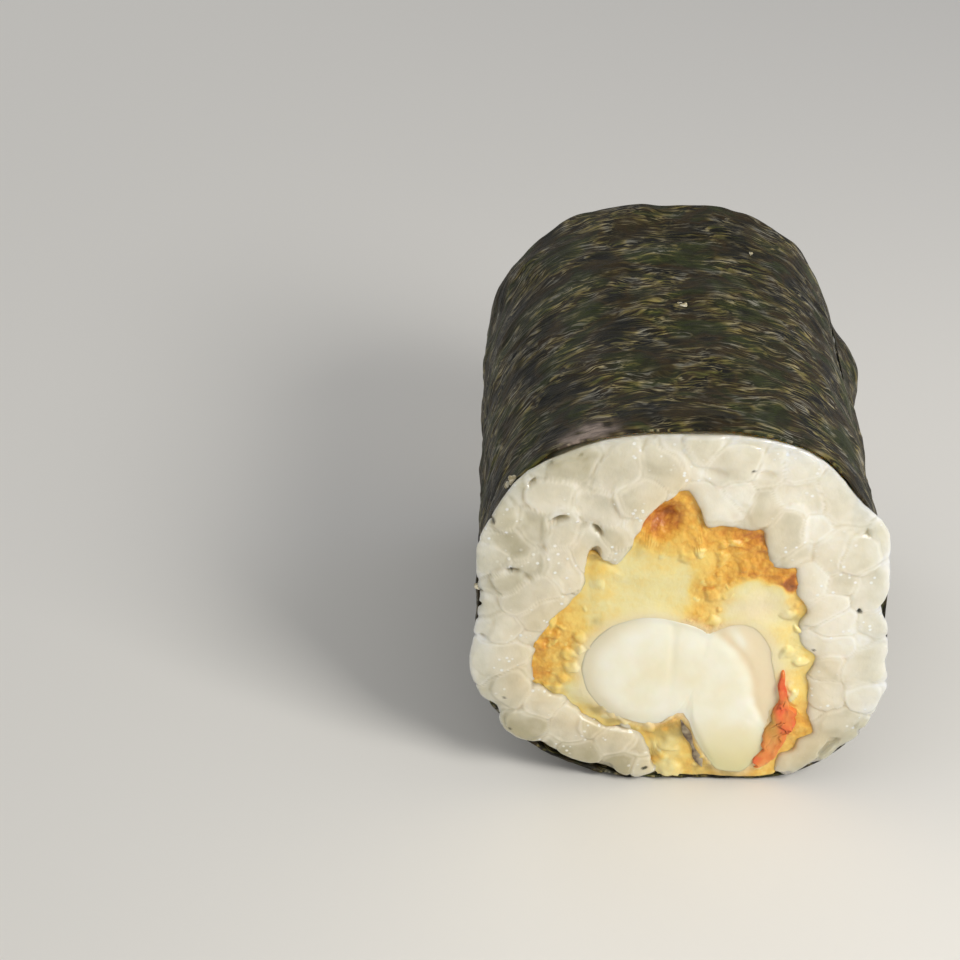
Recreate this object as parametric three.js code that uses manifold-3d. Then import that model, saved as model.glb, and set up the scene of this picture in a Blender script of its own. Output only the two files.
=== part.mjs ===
// One cut piece of a fried shrimp sushi roll, lying on its side.
//
// A sheet of nori is wrapped once round and overlaps itself up the right side. Inside it lies a
// horseshoe of pressed rice, open at the bottom, where the filling touches the nori. The filling
// is a shrimp in a thick fried batter, with a strip of its orange-red shell against its lower
// right flank and its dark vein in the cleft underneath. Every piece runs through from one knife
// cut to the other.
//
// Frame, in millimetres: the roll's axis is Y, and the shown cut faces -Y. X runs to the right
// as that cut is looked at, and Z is up. The origin is on the board, under the middle of the
// roll. Directions in the cross-section are in degrees, 0 to the right and 90 straight up.
import * as THREE from "three";
import { mergeVertices } from "three/addons/utils/BufferGeometryUtils.js";
import Module from "manifold-3d";

const wasm = await Module();
wasm.setup();

// ---- driving dimensions ----
const noriLength = 39; // between the cut edges of the nori: a 195 mm roll cut in five
const rollWidth = 34; // outside the nori, at the widest point
const rollHeight = 36.4; // outside the nori
const widestHeight = 15; // the roll sags, so it is widest below the middle
const baseSink = 0.6; // how much of the round underside is pressed flat on the board
const crownPower = 2.8; // squareness of the upper half, 2 for an ellipse
const basePower = 2.4; // squareness of the lower half
const baseSkew = 2.6; // the underside sits this far to the right of the crown

const noriThickness = 0.5; // damp nori
const gap = 0.3; // between touching pieces
const flapDirection = 398; // where the outer end of the nori stops, once round and 38 degrees on
const startDirection = -14; // where its inner end starts, under the flap
const rampSpan = 46; // degrees over which the sheet climbs onto its own inner end
const flapLift = 1.0; // how far the far corner of the flap curls up
const curlSpan = 14; // degrees over which that corner curls

const riceProud = 1.0; // the rice stands out of the nori at both cuts
const riceFlare = 0.5; // and swells over the nori's edge at the sides
const riceFoot = 0.1; // how far above the board that swelling stops
const riceDome = [ // share of the way out, and how far the cut face has dropped there
  [0.55, 0.1],
  [0.94, 0.15],
  [1, 0.45],
];
const grainHeight = 0.25; // of the bumps that grains make round the rice's rim
const grainCounts = [9, 7]; // two waves round the rim, whose product is uneven
const batterProud = 0.7;
const shrimpProud = 0.9;
const batterRound = 0.5; // of the edge of its cut faces
const shrimpRound = 0.6;
const leastCrust = 0.5; // the thinnest that the batter gets outside the shrimp
const cutterPast = 6; // how far a cutting solid runs past the nori's edge

// ---- how fine the surfaces are ----
const ringSegments = 80;
const noriSteps = 120;
const stripSteps = 14;
const veinSteps = 6;

// ---- directions and smooth steps ----
const degree = Math.PI / 180;
const lerp = THREE.MathUtils.lerp;
const smooth = THREE.MathUtils.smoothstep;

// Degrees between two directions, from -180 to 180.
function between(direction, other) {
  return THREE.MathUtils.euclideanModulo(direction - other + 180, 360) - 180;
}

// How far along the roll a station is: 0 at the shown cut and 1 at the far one.
function along(y) {
  return THREE.MathUtils.clamp(y / noriLength + 0.5, 0, 1);
}

// ---- the roll's outline ----
// A superellipse in polar form about the widest point, with its own height and power above and
// below, skewed to the right near the base and pressed flat on the board. inset is how far
// inside the nori's outer face it lies.
const rollCentre = new THREE.Vector2(0, widestHeight);

function rollOutline(direction, inset) {
  const c = Math.cos(direction * degree);
  const s = Math.sin(direction * degree);
  const halfWidth = rollWidth / 2 - inset;
  const rise = (s > 0 ? rollHeight - widestHeight : widestHeight + baseSink) - inset;
  const power = s > 0 ? crownPower : basePower;
  const sum = Math.abs(c / halfWidth) ** power + Math.abs(s / rise) ** power;
  const radius = sum ** (-1 / power);
  const z = Math.max(widestHeight + radius * s, Math.max(inset, 0));
  const below = Math.max(0, 1 - z / widestHeight);
  return new THREE.Vector2(radius * c + baseSkew * below ** 3, z);
}

// ---- the filling's outlines ----
// Each outline is a circle with lobes: [direction, reach past the circle, spread in degrees].
// The lobes drift and change a little along the roll, as no two cuts look the same.
const cutDrift = 9; // degrees that the filling turns from the shown cut to the far one
const lobeChange = 0.3; // share by which a lobe grows or shrinks on the way

const filling = {
  centre: new THREE.Vector2(0, 14),
  radius: 10.2,
  lobes: [
    [89, 1.8, 3.1], // sharp tip of the crust
    [94, 6.0, 13.5], // crest of batter over the shrimp
    [66.5, 3.7, 13.6], // right shoulder of the crust
    [44.6, 2.4, 6.5],
    [30.3, 1.6, 8.3],
    [-44.3, 4.2, 29.7], // lower right, round the shell strip
    [-66.6, 3.1, 14],
    [-86.6, 4.7, 13.4], // foot that reaches the nori
    [-105.8, -2.7, 41.2], // hollow left of the foot
    [-175, 1.6, 23], // left crust
    [125.9, 2.9, 7.4], // small horn on the left
  ],
};

const shrimp = {
  centre: new THREE.Vector2(1.5, 11),
  radius: 7.9,
  lobes: [
    [150.2, 2.3, 31.6], // left half of the meat
    [63.3, 4.2, 16.1], // upper right muscle
    [84, -1.5, 26.4],
    [-78.2, 4.1, 29.6], // foot of the meat
    [-101, -6.7, 22], // cleft that holds the vein
    [-139.4, -1.6, 22.9],
    [24.7, -0.6, 14.7],
  ],
};

function lobedOutline(form, direction, y, grow) {
  const cut = along(y);
  const turned = direction - cutDrift * cut;
  const radius = form.lobes.reduce((sum, [at, reach, spread], index) => {
    const change = 1 + lobeChange * cut * Math.sin(2.1 * index + 0.5);
    return sum + reach * change * Math.exp(-((between(turned, at) / spread) ** 2));
  }, form.radius + grow);
  return new THREE.Vector2(
    form.centre.x + radius * Math.cos(direction * degree),
    form.centre.y + radius * Math.sin(direction * degree),
  );
}

// ---- solids ----
// A solid for cutting and joining, from any closed three.js geometry.
function solidOf(geometry) {
  const bare = geometry.clone().deleteAttribute("normal").deleteAttribute("uv");
  const merged = mergeVertices(bare, 1e-4);
  const index = merged.index.array;
  const triangles = [];
  for (let i = 0; i < index.length; i += 3) {
    const [a, b, c] = [index[i], index[i + 1], index[i + 2]];
    if (a !== b && b !== c && c !== a) triangles.push(a, b, c);
  }
  return new wasm.Manifold(
    new wasm.Mesh({
      numProp: 3,
      vertProperties: new Float32Array(merged.attributes.position.array),
      triVerts: new Uint32Array(triangles),
    }),
  );
}

function geometryOf(solid) {
  const mesh = solid.getMesh();
  const geometry = new THREE.BufferGeometry();
  geometry.setAttribute("position", new THREE.BufferAttribute(mesh.vertProperties, 3));
  geometry.setIndex(new THREE.BufferAttribute(mesh.triVerts, 1));
  geometry.computeVertexNormals();
  return geometry;
}

// A lathe turned round the roll's axis with a radius of 1, whose every ring is then drawn out to
// an outline. profile holds points of share of the way out, and y. outline(direction, y) gives
// the ring's point.
function turnedAndDrawnOut(profile, segments, centre, outline) {
  const geometry = new THREE.LatheGeometry(profile, segments);
  const position = geometry.attributes.position;
  for (let i = 0; i <= segments; i++) {
    const direction = ((i % segments) * 360) / segments;
    profile.forEach((point, j) => {
      const rim = outline(direction, point.y);
      const x = lerp(centre.x, rim.x, point.x);
      const z = lerp(centre.y, rim.y, point.x);
      position.setXYZ(i * profile.length + j, x, point.y, z);
    });
  }
  return geometry;
}

// Stations along the nori, from its far edge to its near one. Every piece changes shape only at
// these, so that neighbours stay the same distance apart.
const stations = Array.from({ length: 6 }, (_, k) => noriLength * (0.5 - k / 5));

// The profile of a piece that runs through the roll and ends in a knife cut at y of -end and
// +end: flat, with a small round edge of the given radius.
const leastRound = 0.01; // for a solid that only cuts
const usualRadius = 12; // that turns a round into a share of the way out

function cutProfile(end, round) {
  const edge = 1 - round / usualRadius;
  const rings = [end - round, ...stations, round - end].map((y) => [1, y]);
  const profile = [[0, end], [edge, end], ...rings, [edge, -end], [0, -end]];
  return profile.map(([share, y]) => new THREE.Vector2(share, y));
}

// A box grid bent into a sheet or a strip that runs along the roll from one end of rows to the
// other: place(u, v, y) gives the point, with u along the strip and v through its thickness.
function bentStrip(steps, rows, place) {
  const geometry = new THREE.BoxGeometry(1, 1, 1, steps, 1, rows.length - 1);
  const position = geometry.attributes.position;
  for (let i = 0; i < position.count; i++) {
    const u = position.getX(i) + 0.5;
    const v = position.getY(i) + 0.5;
    const y = rows[Math.round((position.getZ(i) + 0.5) * (rows.length - 1))];
    const point = place(u, v, y);
    position.setXYZ(i, point.x, y, point.y);
  }
  geometry.computeVertexNormals();
  return geometry;
}

// ---- nori: one sheet, once round and a flap over ----
function noriPoint(u, v, y) {
  const direction = lerp(startDirection, flapDirection, u);
  const climb = smooth(direction, 360 + startDirection - rampSpan, 360 + startDirection);
  const atEdge = smooth(direction, flapDirection - curlSpan, flapDirection);
  const raised = climb * (noriThickness + gap) + flapLift * atEdge * along(y);
  return rollOutline(direction, (1 - v) * noriThickness - raised);
}
const noriRows = [noriLength / 2, 0, -noriLength / 2];
const nori = bentStrip(noriSteps, noriRows, (u, v, y) => noriPoint(1 - u, v, y));

// ---- rice: a plug that fills the nori and swells over its edges, less the filling ----
const riceEnd = noriLength / 2 + riceProud;

// Past the nori's edge the rice swells out, fully at the sides, half as much below and not at
// all above, with the bumps of its grains.
function riceOutline(direction, y) {
  const past = smooth(Math.abs(y), noriLength / 2, noriLength / 2 + gap);
  const up = Math.sin(direction * degree);
  const share = 1 - (0.75 + 0.25 * up) * up ** 2;
  const waves = grainCounts.map((count) => direction * count * degree);
  const bumps = grainHeight * Math.sin(waves[0]) * Math.sin(waves[1] + y);
  const flare = past * (share * (riceFlare + noriThickness + gap) + bumps);
  const point = rollOutline(direction, noriThickness + gap - flare);
  point.y = Math.max(point.y, lerp(noriThickness + gap, riceFoot, past));
  return point;
}

const farHalf = [
  [0, riceEnd],
  ...riceDome.map(([share, drop]) => [share, riceEnd - drop]),
  [1, noriLength / 2 + gap],
  [1, noriLength / 2],
];
const nearHalf = farHalf.map(([share, y]) => [share, -y]).reverse();
const riceProfile = [...farHalf, ...nearHalf].map(([share, y]) => new THREE.Vector2(share, y));
const ricePlug = solidOf(turnedAndDrawnOut(riceProfile, ringSegments, rollCentre, riceOutline));

// ---- filling pieces, each grown a little where it cuts its neighbour ----
const fillingEnd = noriLength / 2 + batterProud;
const shrimpEnd = noriLength / 2 + shrimpProud;
const cutterEnd = noriLength / 2 + cutterPast;

function fillingSolid(end, grow) {
  const outline = (direction, y) => lobedOutline(filling, direction, y, grow);
  const profile = cutProfile(end, batterRound);
  return solidOf(turnedAndDrawnOut(profile, ringSegments, filling.centre, outline));
}

function shrimpSolid(end, grow) {
  const outline = (direction, y) => lobedOutline(shrimp, direction, y, grow);
  const profile = cutProfile(end, shrimpRound);
  return solidOf(turnedAndDrawnOut(profile, ringSegments, shrimp.centre, outline));
}

// The space inside the nori, at an inset, as a plug.
function spaceSolid(inset) {
  const outline = (direction) => rollOutline(direction, inset);
  const profile = cutProfile(cutterEnd, leastRound);
  return solidOf(turnedAndDrawnOut(profile, ringSegments, rollCentre, outline));
}

// ---- shell strip: lies against the shrimp's lower right flank ----
const stripFrom = 12; // degrees about the shrimp's centre
const stripTo = -56;
const stripThickness = 1.9; // at its thickest, two thirds of the way down
const stripEnds = 0.45; // thickness at its two ends

function stripPoint(u, v, y, grow) {
  const spill = grow / (shrimp.radius * degree); // degrees that grow adds at each end
  const direction = lerp(stripFrom + spill, stripTo - spill, u) + cutDrift * along(y);
  const inner = lobedOutline(shrimp, direction, y, gap - grow);
  const bulge = stripEnds + (stripThickness - stripEnds) * Math.sin(Math.PI * u ** 1.5) ** 0.8;
  const outer = lobedOutline(shrimp, direction, y, gap + bulge + grow);
  return inner.lerp(outer, v);
}

function stripSolid(end, grow) {
  return solidOf(bentStrip(stripSteps, [end, ...stations, -end], (u, v, y) => stripPoint(u, v, y, grow)));
}

// ---- vein: a thin dark ribbon down the cleft under the shrimp ----
const veinWidth = 0.8;
const veinTop = new THREE.Vector2(0.6, 7.0);
const veinFoot = new THREE.Vector2(2.3, 2.4);
const veinBend = 0.35; // how far its middle bows out
const veinSwing = 5; // degrees that it turns from the shown cut to the far one

function veinPoint(u, v, y, grow) {
  const swing = veinSwing * degree * along(y);
  const down = new THREE.Vector2().subVectors(veinFoot, veinTop);
  const across = new THREE.Vector2(-down.y, down.x).normalize();
  const spill = grow / down.length();
  const point = veinTop.clone().addScaledVector(down, lerp(-spill, 1 + spill, u));
  const bend = veinBend * Math.sin(Math.PI * u);
  point.addScaledVector(across, bend + (v - 0.5) * (veinWidth + 2 * grow));
  return point.rotateAround(shrimp.centre, swing);
}

function veinSolid(end, grow) {
  return solidOf(bentStrip(veinSteps, [end, ...stations, -end], (u, v, y) => veinPoint(u, v, y, grow)));
}

// ---- cutting the pieces to each other ----
// The space that the shrimp and its shell may fill: inside the nori, and inside a thin crust of
// batter that is never less than leastCrust.
function coreSpace(grow) {
  const outside = noriThickness + gap + leastCrust + gap - grow;
  return spaceSolid(outside).intersect(fillingSolid(cutterEnd, grow - leastCrust - gap));
}

const core = coreSpace(0);
const meat = shrimpSolid(shrimpEnd, 0).intersect(core).subtract(veinSolid(cutterEnd, gap));
const shell = stripSolid(shrimpEnd, 0).intersect(core);
const vein = veinSolid(shrimpEnd, 0);
const room = shrimpSolid(cutterEnd, gap)
  .add(stripSolid(cutterEnd, gap))
  .intersect(coreSpace(gap))
  .add(veinSolid(cutterEnd, gap));
const batter = fillingSolid(fillingEnd, 0).intersect(spaceSolid(noriThickness + gap)).subtract(room);
const rice = ricePlug.subtract(fillingSolid(cutterEnd, gap));

// ---- the part ----
function piece(name, geometry, colour, roughness) {
  const material = new THREE.MeshStandardMaterial({ color: colour, roughness, metalness: 0 });
  const mesh = new THREE.Mesh(geometry, material);
  mesh.name = name;
  return mesh;
}

const roll = new THREE.Group();
roll.add(piece("nori", nori, 0x1d1f12, 0.45));
roll.add(piece("rice", geometryOf(rice), 0xe4ddcc, 0.5));
roll.add(piece("batter", geometryOf(batter), 0xe0a545, 0.6));
roll.add(piece("shrimp", geometryOf(meat), 0xf2ebcf, 0.4));
roll.add(piece("shell_strip", geometryOf(shell), 0xf07a3c, 0.4));
roll.add(piece("vein", geometryOf(vein), 0x5a4a4c, 0.4));

export default roll;
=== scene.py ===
# %% [markdown]
# # A piece of fried shrimp sushi roll
#
# A cook lays a sheet of nori on a mat, spreads sour rice on it, lays a fried shrimp along the
# middle, rolls the mat up and cuts the roll in five with a wet knife. This lesson builds one of
# the five pieces, lying on its side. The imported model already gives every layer's real place and
# size, so it is loaded first as a fixed frame, and each layer is then dressed with a finer
# surface that is measured from it.

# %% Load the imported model
import math

import bpy
import numpy as np
from mathutils import Matrix, Vector
from mathutils.bvhtree import BVHTree


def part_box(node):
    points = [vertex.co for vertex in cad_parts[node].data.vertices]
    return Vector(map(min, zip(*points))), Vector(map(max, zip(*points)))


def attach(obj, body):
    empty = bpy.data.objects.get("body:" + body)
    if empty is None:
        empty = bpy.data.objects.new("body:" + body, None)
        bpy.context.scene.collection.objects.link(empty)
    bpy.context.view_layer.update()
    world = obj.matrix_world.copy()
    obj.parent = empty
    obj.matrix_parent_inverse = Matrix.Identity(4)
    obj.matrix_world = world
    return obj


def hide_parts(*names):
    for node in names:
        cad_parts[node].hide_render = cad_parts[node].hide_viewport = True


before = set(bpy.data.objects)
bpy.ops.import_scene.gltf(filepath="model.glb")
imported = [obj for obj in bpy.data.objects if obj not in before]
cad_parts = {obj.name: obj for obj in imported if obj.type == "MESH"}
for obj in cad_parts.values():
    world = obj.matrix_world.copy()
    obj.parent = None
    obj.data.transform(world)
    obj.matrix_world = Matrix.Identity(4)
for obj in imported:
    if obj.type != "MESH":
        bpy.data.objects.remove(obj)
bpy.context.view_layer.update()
print("nodes:", sorted(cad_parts))

# %% [markdown]
# ## Millimetres, and a mesh from whole arrays
#
# Food is small, so every shape is worked out in millimetres and becomes metres once, when its
# mesh is made. A surface is a grid of points: rows of rings, with a pole at each end where it has
# to close. One helper turns the points and the cells into a smooth mesh. It measures the volume
# that the faces enclose, and where that comes out negative the faces pointed inwards and are
# turned round.

# %% From arrays to a mesh
MM = 0.001


def grid_cells(rows, columns, closed=True):
    """The four corners of each cell of a grid of points that are counted row by row. closed joins
    the last column to the first."""
    row, column = np.meshgrid(
        np.arange(rows - 1), np.arange(columns if closed else columns - 1), indexing="ij"
    )
    after = (column + 1) % columns
    corners = [row * columns + column, row * columns + after,
               (row + 1) * columns + after, (row + 1) * columns + column]
    return np.stack(corners, -1).reshape(-1, 4)


def triangles_of(cells):
    """Every cell cut into triangles. A cell whose last two corners are alike is one triangle."""
    halves = np.concatenate([cells[:, [0, 1, 2]], cells[:, [0, 2, 3]]])
    return halves[(halves[:, 1] != halves[:, 2]) & (halves[:, 0] != halves[:, 2])]


def enclosed(points, cells):
    """The volume inside the cells: the sum of the pyramids from the origin to each triangle."""
    a, b, c = (points[triangles_of(cells)[:, k]] for k in range(3))
    return float((a * np.cross(b, c)).sum() / 6)


def make_piece(name, points, cells, values=None):
    """A smooth mesh from points in millimetres, with its faces outwards. values holds named
    numbers, one for each point, that a material can read."""
    faces = triangles_of(cells if enclosed(points, cells) > 0 else cells[:, ::-1])
    mesh = bpy.data.meshes.new(name)
    mesh.vertices.add(len(points))
    mesh.vertices.foreach_set("co", (points * MM).astype(np.float32).ravel())
    mesh.loops.add(faces.size)
    mesh.loops.foreach_set("vertex_index", faces.astype(np.int32).ravel())
    mesh.polygons.add(len(faces))
    mesh.polygons.foreach_set("loop_start", np.arange(0, faces.size, 3, dtype=np.int32))
    mesh.update(calc_edges=True)
    mesh.validate()
    mesh.shade_smooth()
    for key, numbers in (values or {}).items():
        layer = mesh.attributes.new(key, "FLOAT", "POINT")
        layer.data.foreach_set("value", np.asarray(numbers, np.float32).ravel())
    piece = bpy.data.objects.new(name, mesh)
    bpy.context.scene.collection.objects.link(piece)
    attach(piece, "root")
    print(f"{name}: {len(points)} points, {len(faces)} triangles")
    return piece


def capped(rings):
    """Rings of points stacked from pole to pole, as points and cells. The first and the last ring
    are each closed to their middle point."""
    rows, columns = rings.shape[:2]
    points = np.concatenate([rings.reshape(-1, 3), rings[[0, -1]].mean(1)])
    front, back = rows * columns, rows * columns + 1
    here = np.arange(columns)
    after = (here + 1) % columns
    last = (rows - 1) * columns
    caps = [np.stack([after, here, 0 * here + front, 0 * here + front], -1),
            np.stack([here + last, after + last, 0 * here + back, 0 * here + back], -1)]
    return points, np.concatenate([grid_cells(rows, columns), *caps])


# %% [markdown]
# ## Noise
#
# Nothing on food repeats, so every surface is roughened by noise. Gradient noise puts a random
# slope at every whole-numbered point of space and blends the eight slopes round a place. Adding
# it up at half the size and half the strength gives the mixed roughness of crumbs and paper.

# %% Gradient noise
SLOPE_CELLS = 32  # the slopes repeat after so many cells
SLOPES = np.random.default_rng(5).normal(size=(SLOPE_CELLS, SLOPE_CELLS, SLOPE_CELLS, 3))


def noise(points):
    """Noise from about -1 to 1 at points in space: at each corner of a point's cell, the slope
    there times the way from the corner, blended by a smooth step along each axis."""
    cell = np.floor(points).astype(int)
    part = points - cell
    ease = part**3 * (part * (part * 6 - 15) + 10)
    total = np.zeros(points.shape[:-1])
    for corner in np.ndindex(2, 2, 2):
        x, y, z = np.moveaxis((cell + corner) % SLOPE_CELLS, -1, 0)
        weight = np.prod(np.where(corner, ease, 1 - ease), -1)
        total += weight * ((part - corner) * SLOPES[x, y, z]).sum(-1)
    return total


def rough(points, size, octaves=3):
    """Noise at a size in millimetres, plus each finer octave at half the size and strength."""
    return sum(noise(points * 2**k / size + 7.3 * k) / 2**k for k in range(octaves))


def smooth(value, low, high):
    """0 below low, 1 above high and a smooth step between."""
    t = np.clip((value - low) / (high - low), 0, 1)
    return t * t * (3 - 2 * t)


def hump(value, at, spread):
    """A bell curve of height 1 at a place, with a spread."""
    return np.exp(-(((value - at) / spread) ** 2))


def soft_max(a, b, width):
    """The larger of two numbers, with the corner where they change over rounded off."""
    return (a + b + np.sqrt((a - b) ** 2 + width**2)) / 2


# %% [markdown]
# ## Measuring the layers
#
# In a cross-section each layer's edge is one distance from a centre for every direction, like the
# hand of a clock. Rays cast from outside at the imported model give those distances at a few
# stations along the roll, and between them they are blended. Directions are in degrees, 0 to the
# right and 90 up, as the shown cut is looked at. That cut faces -Y.

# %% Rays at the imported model
AXIS = (0.0, 15.0)  # X and Z of the roll's widest point
DIRECTIONS = np.arange(0, 360, 1.5)


def solid(node):
    """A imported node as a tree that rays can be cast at, in millimetres."""
    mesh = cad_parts[node].data
    mesh.calc_loop_triangles()
    points = np.empty(len(mesh.vertices) * 3, np.float32)
    corners = np.empty(len(mesh.loop_triangles) * 3, np.int32)
    mesh.vertices.foreach_get("co", points)
    mesh.loop_triangles.foreach_get("vertices", corners)
    return BVHTree.FromPolygons((points / MM).reshape(-1, 3).tolist(), corners.reshape(-1, 3).tolist())


def edge_of(node, centre, stations, outside=True):
    """A function of direction and y that gives a layer's distance from its centre: its outermost
    face, or where outside is false the first face met on the way out. A direction that has none
    of the layer takes its neighbours' distance."""
    tree = solid(node)
    reach = 40.0
    table = np.zeros((len(stations), len(DIRECTIONS)))
    for row, y in enumerate(stations):
        middle = Vector((centre[0], y, centre[1]))
        for column, turn in enumerate(np.radians(DIRECTIONS)):
            out = Vector((math.cos(turn), 0, math.sin(turn)))
            start, way = (middle + reach * out, -out) if outside else (middle, out)
            place = tree.ray_cast(start, way)[0]
            table[row, column] = (place - middle).dot(out)
        met = table[row] > 0
        table[row] = np.interp(DIRECTIONS, DIRECTIONS[met], table[row, met], period=360)

    def edge(direction, y):
        turn = (np.asarray(direction) % 360) / DIRECTIONS[1]
        low = np.floor(turn).astype(int) % len(DIRECTIONS)
        high, part = (low + 1) % len(DIRECTIONS), turn % 1
        row = np.interp(y, stations, np.arange(len(stations)))
        near = np.minimum(row.astype(int), len(stations) - 2)
        step = row - near
        at_near = table[near, low] * (1 - part) + table[near, high] * part
        at_far = table[near + 1, low] * (1 - part) + table[near + 1, high] * part
        return at_near * (1 - step) + at_far * step

    return edge


def end_of(node):
    """How far a layer reaches along the roll from its middle, in millimetres."""
    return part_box(node)[1].y / MM


NORI_END, RICE_END = end_of("nori"), end_of("rice")
BATTER_END, MEAT_END = end_of("batter"), end_of("shrimp")
MEAT_CENTRE = (1.5, 11.0)
inner_stations = np.linspace(-NORI_END + 0.1, NORI_END - 0.1, 6)
rice_edge = edge_of("rice", AXIS, [-RICE_END + 0.5, RICE_END - 0.5])
nori_inside = edge_of("nori", AXIS, inner_stations, outside=False)
print(f"roll {2 * RICE_END:.1f} mm long, nori {2 * NORI_END:.1f} mm")


def polar(x, z, centre=AXIS):
    """Direction in degrees and distance of places in the cross-section, from a centre."""
    off_x, off_z = x - centre[0], z - centre[1]
    return np.degrees(np.arctan2(off_z, off_x)), np.hypot(off_x, off_z)


def apart(x, z, spot_x, spot_z):
    """Distance from a named spot in the cross-section."""
    return np.hypot(x - spot_x, z - spot_z)


# %% [markdown]
# Where rice meets batter the border is ragged, because grains poke inwards. It is given as a
# list of directions and distances. Along the roll the whole filling turns by nine degrees, as
# the imported model's does.

# %% The ragged border of the filling
CUT_TURN = 9.0  # degrees that the filling turns between one cut and the other
FILLING_BORDER = [  # direction, and distance from the axis in mm, at the shown cut
    (2, 9.8), (7, 9.7), (15, 10.0), (20, 11.0), (26, 10.9), (32, 10.8), (40, 11.6), (43, 12.2),
    (45, 11.2), (50, 10.8), (54, 11.3), (60, 12.3), (63, 13.3), (65, 12.8), (70, 12.6), (77, 12.7),
    (80, 12.2), (83, 12.3), (85, 13.2), (90, 15.8), (96, 15.0), (99, 14.6), (105, 12.9), (109, 11.7),
    (114, 10.6), (120, 9.8), (124, 9.6), (127, 11.6), (129, 11.9), (134, 11.1), (140, 10.1),
    (147, 9.7), (157, 10.1), (164, 10.6), (172, 10.9), (178, 11.7), (185, 11.9), (195, 12.1),
    (203, 11.9), (207, 11.4), (209, 10.7), (214, 10.6), (219, 10.2), (223, 10.6), (230, 9.8),
    (236, 9.9), (242, 8.8), (251, 9.2), (257, 10.1), (261, 11.4), (264, 13.3), (273, 15.3),
    (287, 15.7), (301, 16.3), (305, 15.6), (308, 14.7), (313, 15.2), (317, 14.4), (323, 14.8),
    (327, 13.3), (334, 12.1), (340, 11.7), (345, 11.1), (350, 11.3), (357, 11.0)]


def filling_turn(y):
    """Degrees that the filling has turned at y, on its way from the shown cut."""
    return CUT_TURN * (y / (2 * NORI_END) + 0.5)


def turned(direction, y):
    """A direction at y, as it would be at the shown cut."""
    return direction - filling_turn(y)


def swung(x, z, degrees):
    """Places in the cross-section, swung round the roll's axis by an angle."""
    turn, x, z = np.radians(degrees), x - AXIS[0], z - AXIS[1]
    return (AXIS[0] + x * np.cos(turn) - z * np.sin(turn),
            AXIS[1] + x * np.sin(turn) + z * np.cos(turn))


def listed(outline, direction):
    """The distance of a listed outline in a direction: straight between its entries, and averaged
    with the distances 1.3 degrees to either side, which rounds the corners off."""
    directions, distances = np.array(outline).T
    return sum(
        share * np.interp((np.asarray(direction) + turn) % 360, directions, distances, period=360)
        for turn, share in ((-1.3, 0.25), (0, 0.5), (1.3, 0.25)))


RIM_LUMPS = [  # direction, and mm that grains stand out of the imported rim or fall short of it
    (0, 0.35), (5, 0.24), (9, 0.1), (13, -0.75), (18, -0.4), (21, 0.2), (26, 0.4), (31, 0.55),
    (37, 0.6), (44, 0.6), (51, 0.45), (60, 0.1), (146, 0.0), (153, -0.2), (158, -0.2), (163, -0.55),
    (170, -0.4), (178, 0.0), (184, 0.45), (188, 0.45), (194, 0.2), (199, 0.0), (203, -0.7),
    (208, 0.1), (213, 0.3), (217, 0.1), (221, -0.4), (224, -1.1), (229, -0.5), (235, -0.5),
    (241, -0.7), (247, -1.5), (252, -0.5), (258, 0.0), (264, -0.6), (268, -0.9), (296, -0.9),
    (301, -1.0), (306, 0.1), (313, -0.75), (318, 0.0), (324, -0.15), (328, 0.25), (333, 0.4),
    (338, 0.8), (343, 0.6), (346, 0.9), (351, 0.6), (356, -0.1)]


def rim_lumps(direction, y):
    """How far the rim's lumps stand out: listed at the shown cut, and noise at the far one."""
    around = np.radians(direction)
    ring = 5 * np.stack([np.cos(around), 0 * around, np.sin(around)], -1)
    return np.where(y < 0, listed(RIM_LUMPS, direction), 0.7 * noise(ring + 3) - 0.2)


FLARE = 0.5  # mm that nori and rice stand out more along the top of the shown cut
UNDER_NORI = 0.4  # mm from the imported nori's inner face in to the rice under it
LEVEL_GAP = 0.1  # mm from that face in to the rice, where rice and nori end level
FAR_SLACK = 0.9  # mm that the upper rim of the far cut lies further in
THIN_RICE = 0.4  # mm of rice that is left between the filling and the rim


def right_and_up(direction):
    """How far right and how far up a direction points, from -1 to 1."""
    return np.cos(np.radians(direction)), np.sin(np.radians(direction))


def flare(direction, y):
    """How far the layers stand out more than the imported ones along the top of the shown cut."""
    right, up = right_and_up(direction)
    return FLARE * smooth(-y, 13, NORI_END) * smooth(up, 0.1, 0.6) * (1 - smooth(right, 0.4, 0.7))


def flush(direction):
    """1 over the top, where nori and rice end level, and 0 round the rest."""
    right, up = right_and_up(direction)
    return smooth(up, 0.6, 0.8) * (1 - smooth(-right, 0.2, 0.5))


def rice_rim(direction, y):
    """Distance to the rice's outer edge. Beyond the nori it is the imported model's, with lumps
    below and on the right, and just inside the nori where the two end level. Under the nori it
    lies a little inside the nori all round. The two are blended over the nori's edge."""
    right, up = right_and_up(direction)
    lumpy = np.maximum(smooth(-up, -0.75, -0.4), smooth(right, 0.4, 0.6))
    free = rice_edge(direction, y) + rim_lumps(direction, y) * lumpy
    free = free - FAR_SLACK * smooth(up, -0.3, 0.3) * (y > 0)
    inside = nori_inside(direction, y)
    free = free + (inside - LEVEL_GAP - free) * flush(direction)
    held = inside - UNDER_NORI
    beyond = smooth(np.abs(y), NORI_END - 0.05, NORI_END + 0.35)
    return held + (free - held) * beyond + flare(direction, y)


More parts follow.
